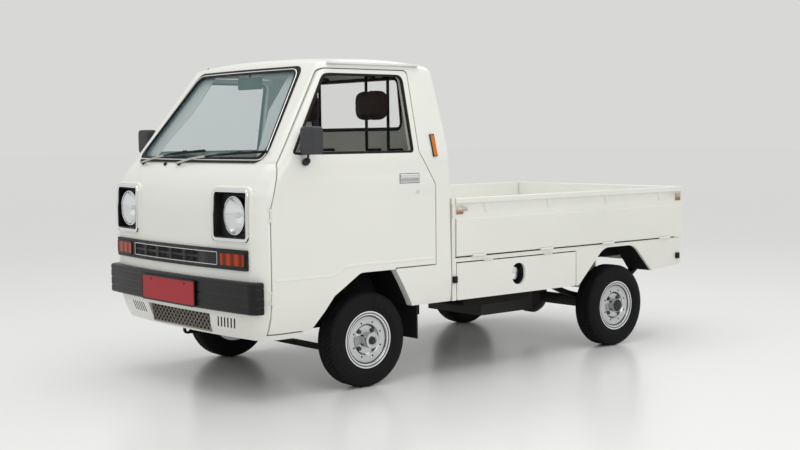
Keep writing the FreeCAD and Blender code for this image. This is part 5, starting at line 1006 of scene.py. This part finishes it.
for side, hand in SIDES:
    door = f"door_{side}"
    x = skin_x(door, *HANDLE_PLACE, hand)
    gasket = side_bar(hand, x, *GASKET_SPAN, HANDLE_HEIGHT, 0.003, 0.049, 0.0012)
    mesh_piece(f"handle_gasket_{side}", [gasket], rubber, door)
    bright = [side_bar(hand, x, *PLATE_SPAN, HANDLE_HEIGHT, 0.005, 0.044, 0.0018),
              side_bar(hand, x + hand * 0.003, *GRIP_SPAN, GRIP_HEIGHT, 0.006, 0.016, 0.0028),
              lathe(LOCK, (skin_x(door, *LOCK_PLACE, hand), *LOCK_PLACE), (hand, 0, 0), 28)]
    mesh_piece(f"door_handle_{side}", bright, chrome, door)
    dish = side_bar(hand, x + hand * 0.0022, *GRIP_SPAN, DISH_HEIGHT, 0.002, 0.018, 0.0008)
    mesh_piece(f"handle_dish_{side}", [dish], bare_steel, door)
    hits = [touch(door, (hand * FAR, y, z), (-hand, 0, 0)) for y, z in smooth_path(CREASE, 120)]
    lying = np.array([hit for hit in hits if hit and abs(hit.x) > SIDE - 0.01])
    crease = tube(lying, (hand, 0, 0), oval(0.0036, 0.014, 12))
    mesh_piece(f"door_crease_{side}", [crease], enamel, door)
    print(side, "crease points on the door", len(lying), "of", len(hits))

# %% [markdown]
# The door mirrors have a soft-edged head on a bent arm, a ball joint at the foot and a bright glass
# that looks back. The same pillow shape serves again for the seats.

# %% Door mirrors
HEAD_WIDTH, HEAD_HEIGHT = 0.110, 0.130
ARM = ((0.002, -0.036), (0.026, -0.030), (0.036, -0.004), (0.038, 0.020))
KNOB = [(-0.016, 0), (-0.014, 0.010), (-0.006, 0.0165), (0.006, 0.0165), (0.014, 0.010), (0.016, 0)]
KNOB_OUT, KNOB_DROP, FOOT_OUT, FOOT_BACK, FOOT_DROP = 0.026, 0.030, 0.012, 0.003, 0.036
GLASS_EDGE, GLASS_FRONT, GLASS_SUNK, HEAD_SQUARENESS = 0.014, 0.007, 0.0005, 0.28
ROUNDS, AROUND = 41, 80


def pillow(low, high, squareness, shift):
    """A box with swollen faces: signed powers of the sine and cosine round two angles, then
    moved along Y in step with the height, for a back that leans."""
    across = np.linspace(-np.pi / 2, np.pi / 2, ROUNDS)[:, None]
    around = np.linspace(0, 2 * np.pi, AROUND, endpoint=False)[None, :]

    def power(value):
        return np.sign(value) * np.abs(value) ** squareness

    unit = np.stack([power(np.cos(across)) * power(np.cos(around)),
                     power(np.cos(across)) * power(np.sin(around)),
                     power(np.sin(across)) * np.ones_like(around)], axis=-1).reshape(-1, 3)
    low, high = np.asarray(low), np.asarray(high)
    points = (low + high) / 2 + unit * (high - low) / 2
    points[:, 1] += shift * (unit[:, 2] + 1) / 2
    return points, grid_faces(ROUNDS, AROUND, wrap_columns=True)


for side, hand in SIDES:
    door = f"door_{side}"
    low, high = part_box(f"mirror_{side}")
    outer, y = max(abs(low.x), abs(high.x)), (low.y + high.y) / 2
    bottom = high.z - HEAD_HEIGHT
    near, far = sorted((hand * (outer - HEAD_WIDTH), hand * outer))
    head = pillow((near, low.y, bottom), (far, high.y, high.z), HEAD_SQUARENESS, 0)
    path = smooth_path([(hand * (SIDE + out), y, bottom + rise) for out, rise in ARM], 24)
    arm = tube(path, AHEAD, oval(0.012, 0.012, 16))
    shell = mesh_piece(f"mirror_head_{side}", [head, arm], mirror_shell, door)
    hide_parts(f"mirror_{side}")
    knob = (hand * (SIDE + KNOB_OUT), y, bottom - KNOB_DROP)
    foot = (hand * (SIDE + FOOT_OUT), y + FOOT_BACK, bottom - FOOT_DROP)
    joint = [lathe(KNOB, knob, (0, 0, 1), 28), lathe(KNOB, foot, (1, 0, 0), 28)]
    mesh_piece(f"mirror_joint_{side}", joint, black_plastic, door)
    glass = block((near + GLASS_EDGE, high.y - GLASS_FRONT, bottom + GLASS_EDGE),
                  (far - GLASS_EDGE, high.y - GLASS_SUNK, high.z - GLASS_EDGE))
    mesh_piece(f"mirror_glass_{side}", [glass], reflector, door)
print("mirror head reaches", round(outer, 3), "from the middle")

# %% [markdown]
# Gate latches are rusty levers in the recesses at the gates' ends: a plate, a lever and a pin.

# %% Latches
LATCHES = (("front", -0.262, 1), ("rear", 1.555, -1))
PLATE_HEIGHT, LEVER_HEIGHT = 0.852, 0.856
PIN = [(-0.002, 0), (-0.002, 0.008), (0.009, 0.007), (0.009, 0)]
for side, hand in SIDES:
    gate = f"side_gate_{side}"
    for name, y, way in LATCHES:
        x = skin_x(gate, y, PLATE_HEIGHT, hand)
        plate = side_bar(hand, x + hand * 0.001, y - 0.024, y + 0.024, PLATE_HEIGHT, 0.004, 0.044, 0.0018)
        tip = y + 0.020 + way * 0.030
        lever = side_bar(hand, x + hand * 0.005, y - 0.020, tip, LEVER_HEIGHT, 0.006, 0.016, 0.0025)
        pin = lathe(PIN, (x, y, LEVER_HEIGHT), (hand, 0, 0), 20)
        mesh_piece(f"latch_{name}_{side}", [plate, lever, pin], rust, gate)
print("latches", 2 * len(LATCHES))

# %% [markdown]
# Each side marker sits in a black rim. Its leaning line runs from the marker's foot to its top.

# %% Rims of the side markers
corners = np.array([vertex.co for vertex in nodes["amber_lamps"].data.vertices])
rims = []
for hand in (1, -1):
    marker = corners[(corners[:, 2] > MARKERS_ABOVE) & (corners[:, 0] * hand > 0)]
    foot = marker[marker[:, 2] < marker[:, 2].min() + 0.02].mean(axis=0)
    top = marker[marker[:, 2] > marker[:, 2].max() - 0.02].mean(axis=0)
    along = (top - foot) / np.linalg.norm(top - foot)
    path = np.linspace(foot - 0.0055 * along, top + 0.0055 * along, 5)
    rims.append(tube(path, (hand, 0, 0), soft_box(0.007, 0.0305, 0.003)))
    print("marker from", foot.round(4), "to", top.round(4))
mesh_piece("marker_rims", rims, black_plastic)

# %% [markdown]
# A tail lamp has three cells: amber outside, red in the middle, clear inside, in one black frame.

# %% Tail lamps
TAIL_LOW, TAIL_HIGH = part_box("tail_lamps")
tail_y, tail_z = middle_of("tail_lamps", 1), middle_of("tail_lamps", 2)
CELL_EDGES = TAIL_HIGH.x - np.array([0.006, 0.076, 0.156, 0.224])
CELL_GAP, CELL_MARGIN, CELL_EASE = 0.002, 0.006, 0.006
FRAME_HALF, FRAME_LONG, FRAME_EASE = 0.0035, 0.2265, 0.008
cells = {"amber": [], "red_lamp": [], "lamp_glass": []}
frames = []
for hand in (1, -1):
    for slot, outer, inner in zip(cells, CELL_EDGES[:-1], CELL_EDGES[1:]):
        x = hand * (outer + inner) / 2
        path = [(x, y, tail_z) for y in (TAIL_LOW.y, TAIL_HIGH.y - 0.002, TAIL_HIGH.y - 0.001)]
        section = soft_box(outer - inner - CELL_GAP, TAIL_HIGH.z - TAIL_LOW.z - 2 * CELL_MARGIN, CELL_EASE)
        cells[slot].append(tube(path, (1, 0, 0), section))
    flat = rounded_rectangle(hand * (TAIL_HIGH.x - FRAME_HALF), hand * (TAIL_HIGH.x - FRAME_LONG),
                             TAIL_LOW.z + FRAME_HALF, TAIL_HIGH.z - FRAME_HALF, FRAME_EASE, 100)
    section = soft_box(TAIL_HIGH.y - TAIL_LOW.y, 0.007, 0.002)
    frames.append(tube(in_space(flat, tail_y), BEHIND, section, closed=True))
amber_cells = mesh_piece("tail_cells_amber", cells["amber"], amber)
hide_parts("tail_lamps")
mesh_piece("tail_cells_red", cells["red_lamp"], red_lens)
mesh_piece("tail_cells_clear", cells["lamp_glass"], reflector)
mesh_piece("tail_frames", frames, black_plastic)
print("tail lamp cells", sum(len(group) for group in cells.values()))

# %% [markdown]
# Seats are padded vinyl, so they are blown up as cloth: a slightly small block with swollen faces
# is remeshed evenly, filled with pressure for twenty frames, and held to a cap so that it stays in
# the room its solid had. Sewn channels are pressed in afterwards, because remeshing erases them.

# %% Pads blown up as cloth
FRAMES, PRESSURE, QUALITY = 20, 4, 5
SEAM_WIDTH, SEAM_DEPTH, SEAM_FADE = 0.006, 0.006, 0.03
SEAMS = (0.18, 0.3025, 0.425)


def settle(piece):
    """The mesh that a piece's modifiers make, as plain data."""
    shown = piece.evaluated_get(bpy.context.evaluated_depsgraph_get())
    made = bpy.data.meshes.new_from_object(shown)
    piece.modifiers.clear()
    piece.data = made
    return np.array([vertex.co for vertex in made.vertices])


def blow_up(name, points, faces, cap, voxel):
    """Cloth with inner pressure for some frames. Each point's move is cut to the cap's length."""
    mesh = new_mesh(name, points, faces)
    merge_points(mesh)
    piece = in_scene(name, mesh)
    scene = bpy.context.scene
    remesh = piece.modifiers.new("even faces", "REMESH")
    remesh.mode = "VOXEL"
    remesh.voxel_size = voxel
    before = settle(piece)
    after = before
    cloth = piece.modifiers.new("filling", "CLOTH")
    cloth.settings.use_pressure = True
    cloth.settings.uniform_pressure_force = PRESSURE
    cloth.settings.quality = QUALITY
    cloth.settings.effector_weights.gravity = 0
    for frame_number in range(1, FRAMES + 1):
        scene.frame_set(frame_number)
    after = settle(piece)
    scene.frame_set(1)
    move = after - before
    far = np.linalg.norm(move, axis=1, keepdims=True)
    after = before + move * np.minimum(1, cap / np.maximum(far, 1e-9))
    made = [tuple(face.vertices) for face in piece.data.polygons]
    bpy.data.objects.remove(piece)
    print(name, "points", len(after), "largest move", round(float(far.max()), 4))
    return after, made


def pad_piece(name, points, faces, material):
    """A finished pad: smooth all over, with one subdivision."""
    piece = mesh_piece(name, [(points, faces)], material)
    piece.data.shade_smooth()
    finer = piece.modifiers.new("finer", "SUBSURF")
    finer.levels = finer.render_levels = 1
    return piece


def channels(points, face_axis, face_sign, middle):
    """Sewn channels: a bell-shaped dip about the X of each seam, on one face of the pad."""
    dip = sum(np.exp(-((points[:, 0] - seam) / SEAM_WIDTH) ** 2) for seam in SEAMS)
    side = np.clip((points[:, face_axis] - middle) * face_sign / SEAM_FADE, 0, 1)
    points = points.copy()
    points[:, face_axis] -= face_sign * SEAM_DEPTH * dip * side
    return points


CUSHION = ((0.054, -1.028, 0.650), (0.551, -0.527, 0.748))
BACKREST = ((0.054, -0.507, 0.652), (0.551, -0.432, 1.090))
HEADREST = ((0.171, -0.548, 1.320), (0.421, -0.500, 1.477))
SQUARENESS, REST_SQUARENESS, BACK_LEAN = 0.38, 0.55, 0.033
CAP, VOXEL = 0.009, 0.009
REST_CAP, REST_VOXEL = 0.007, 0.0055
cushion, cushion_faces = blow_up("cushion", *pillow(*CUSHION, SQUARENESS, 0), CAP, VOXEL)
cushion = channels(cushion, 2, 1, 0.70)
shape = pillow(*BACKREST, SQUARENESS, BACK_LEAN)
backrest, backrest_faces = blow_up("backrest", *shape, CAP, VOXEL)
backrest = channels(backrest, 1, -1, -0.46)
shape = pillow(*HEADREST, REST_SQUARENESS, 0)
headrest, headrest_faces = blow_up("headrest", *shape, REST_CAP, REST_VOXEL)
for side, hand in SIDES:
    mirror = np.array([hand, 1, 1])
    seat = pad_piece(f"cushion_{side}", cushion * mirror, cushion_faces, seat_vinyl)
    pad_piece(f"backrest_{side}", backrest * mirror, backrest_faces, seat_vinyl)
    rest = pad_piece(f"headrest_{side}", headrest * mirror, headrest_faces, vinyl)
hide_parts("seats")
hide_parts("headrests")
print("pads", 6)

# %% [markdown]
# Inboard of each front wheel a flat black sheet closes the arch towards the rails, so that no light
# comes through under the cab. It stands clear of the steered tyre.

# %% Inner sheets of the front arches
SHEET_PLACE, HALF_SHEET = 0.332, 0.002
SHEET_FRONT, SHEET_REAR = FRONT_AXLE - 0.34, FRONT_AXLE + 0.62
SHEET_FOOT, SHEET_TOP = 0.27, 0.655
sheets = [block((x - HALF_SHEET, SHEET_FRONT, SHEET_FOOT), (x + HALF_SHEET, SHEET_REAR, SHEET_TOP))
          for x in (-SHEET_PLACE, SHEET_PLACE)]
mesh_piece("arch_sheets", sheets, chassis_black, smooth=False)
print("arch sheets", len(sheets))

# %% [markdown]
# Light, floor and backdrop stand in for a white studio. A big soft lamp hangs over the truck, a
# second one stands at the camera's right and a weak third one at its left, and the world fills the
# shadows. The world shows one pale grey to the camera and a slightly lighter one in reflections, so
# that the polished floor meets the wall without an edge. Its lighting strength is set apart from
# both.

# %% Studio
def add_lamp(name, place, target, size, power):
    """A soft rectangular lamp at a place, facing a target."""
    light = bpy.data.lights.new(name, "AREA")
    light.shape = "RECTANGLE"
    light.size, light.size_y = size
    light.energy = power
    lamp = in_scene(name, light)
    lamp.location = place
    lamp.rotation_euler = (Vector(target) - Vector(place)).to_track_quat("-Z", "Y").to_euler()


add_lamp("sky_panel", (0.5, 0.0, 5.2), (0, 0, 0.5), (7.0, 5.0), 130)
add_lamp("side_panel", (5.5, -1.5, 3.2), (0, 0, 0.8), (4.0, 3.0), 52)
add_lamp("front_panel_light", (-1.5, -6.0, 3.0), (0, -0.5, 0.9), (4.0, 3.0), 12)

world = bpy.data.worlds.new("studio")
bpy.context.scene.world = world
world.use_nodes = True
tree = world.node_tree
rays = tree.nodes.new("ShaderNodeLightPath")


def glow(colour, strength):
    """A plain background of one colour."""
    return add_node(tree, "Background", {"Color": (*colour, 1), "Strength": strength}).outputs[0]


def choose(ray, others, chosen):
    """Shows one background to a kind of ray and another to all others."""
    return add_node(tree, "MixShader", {"Fac": rays.outputs[ray], 1: others, 2: chosen}).outputs[0]


FILL_STRENGTH = 0.77
WALL, SHEEN = (0.685, 0.692, 0.672), (0.735, 0.742, 0.722)
plain = choose("Is Camera Ray", glow((1, 1, 1), FILL_STRENGTH), glow(WALL, 1))
blend = choose("Is Glossy Ray", plain, glow(SHEEN, 1))
wire(tree.nodes["World Output"], {"Surface": blend})

REACH = 90.0
corners = [(-REACH, -REACH, 0), (REACH, -REACH, 0), (REACH, REACH, 0), (-REACH, REACH, 0)]
floor = in_scene("floor", new_mesh("floor", corners, [(0, 1, 2, 3)]))
floor_paint = new_finish("floor_paint", (0.80, 0.80, 0.79), 0.24, 0.0, patch=0.0, shine=0.45)
floor.data.materials.append(floor_paint)
print("lamps", len(bpy.data.lights))

# %% [markdown]
# The camera stands where the photographer stood. Its place, turn and lens were worked out from
# the truck's known length and width, its wheels, and its left and right corners.

# %% Camera
CAMERA_PLACE = Vector((5.4717, -4.7235, 1.2334))
AZIMUTH, ELEVATION, ROLL = (math.radians(value) for value in (49.86, 4.98, -0.60))
LENS, SENSOR = 56.85, 36
SHIFT = (0.0039, 0.0274)
back = Vector((math.sin(AZIMUTH) * math.cos(ELEVATION), -math.cos(AZIMUTH) * math.cos(ELEVATION),
               math.sin(ELEVATION)))
level = Vector((math.cos(AZIMUTH), math.sin(AZIMUTH), 0))
upright = back.cross(level)
right = level * math.cos(ROLL) + upright * math.sin(ROLL)
up = upright * math.cos(ROLL) - level * math.sin(ROLL)
lens = bpy.data.cameras.new("camera")
lens.lens = LENS
lens.sensor_width = SENSOR
lens.shift_x, lens.shift_y = SHIFT
camera = in_scene("camera", lens)
turn = Matrix((right, up, back)).transposed().to_4x4()
camera.matrix_world = Matrix.Translation(CAMERA_PLACE) @ turn
bpy.context.scene.camera = camera
bpy.context.scene.view_settings.view_transform = "Standard"
print("camera at", [round(value, 3) for value in CAMERA_PLACE])
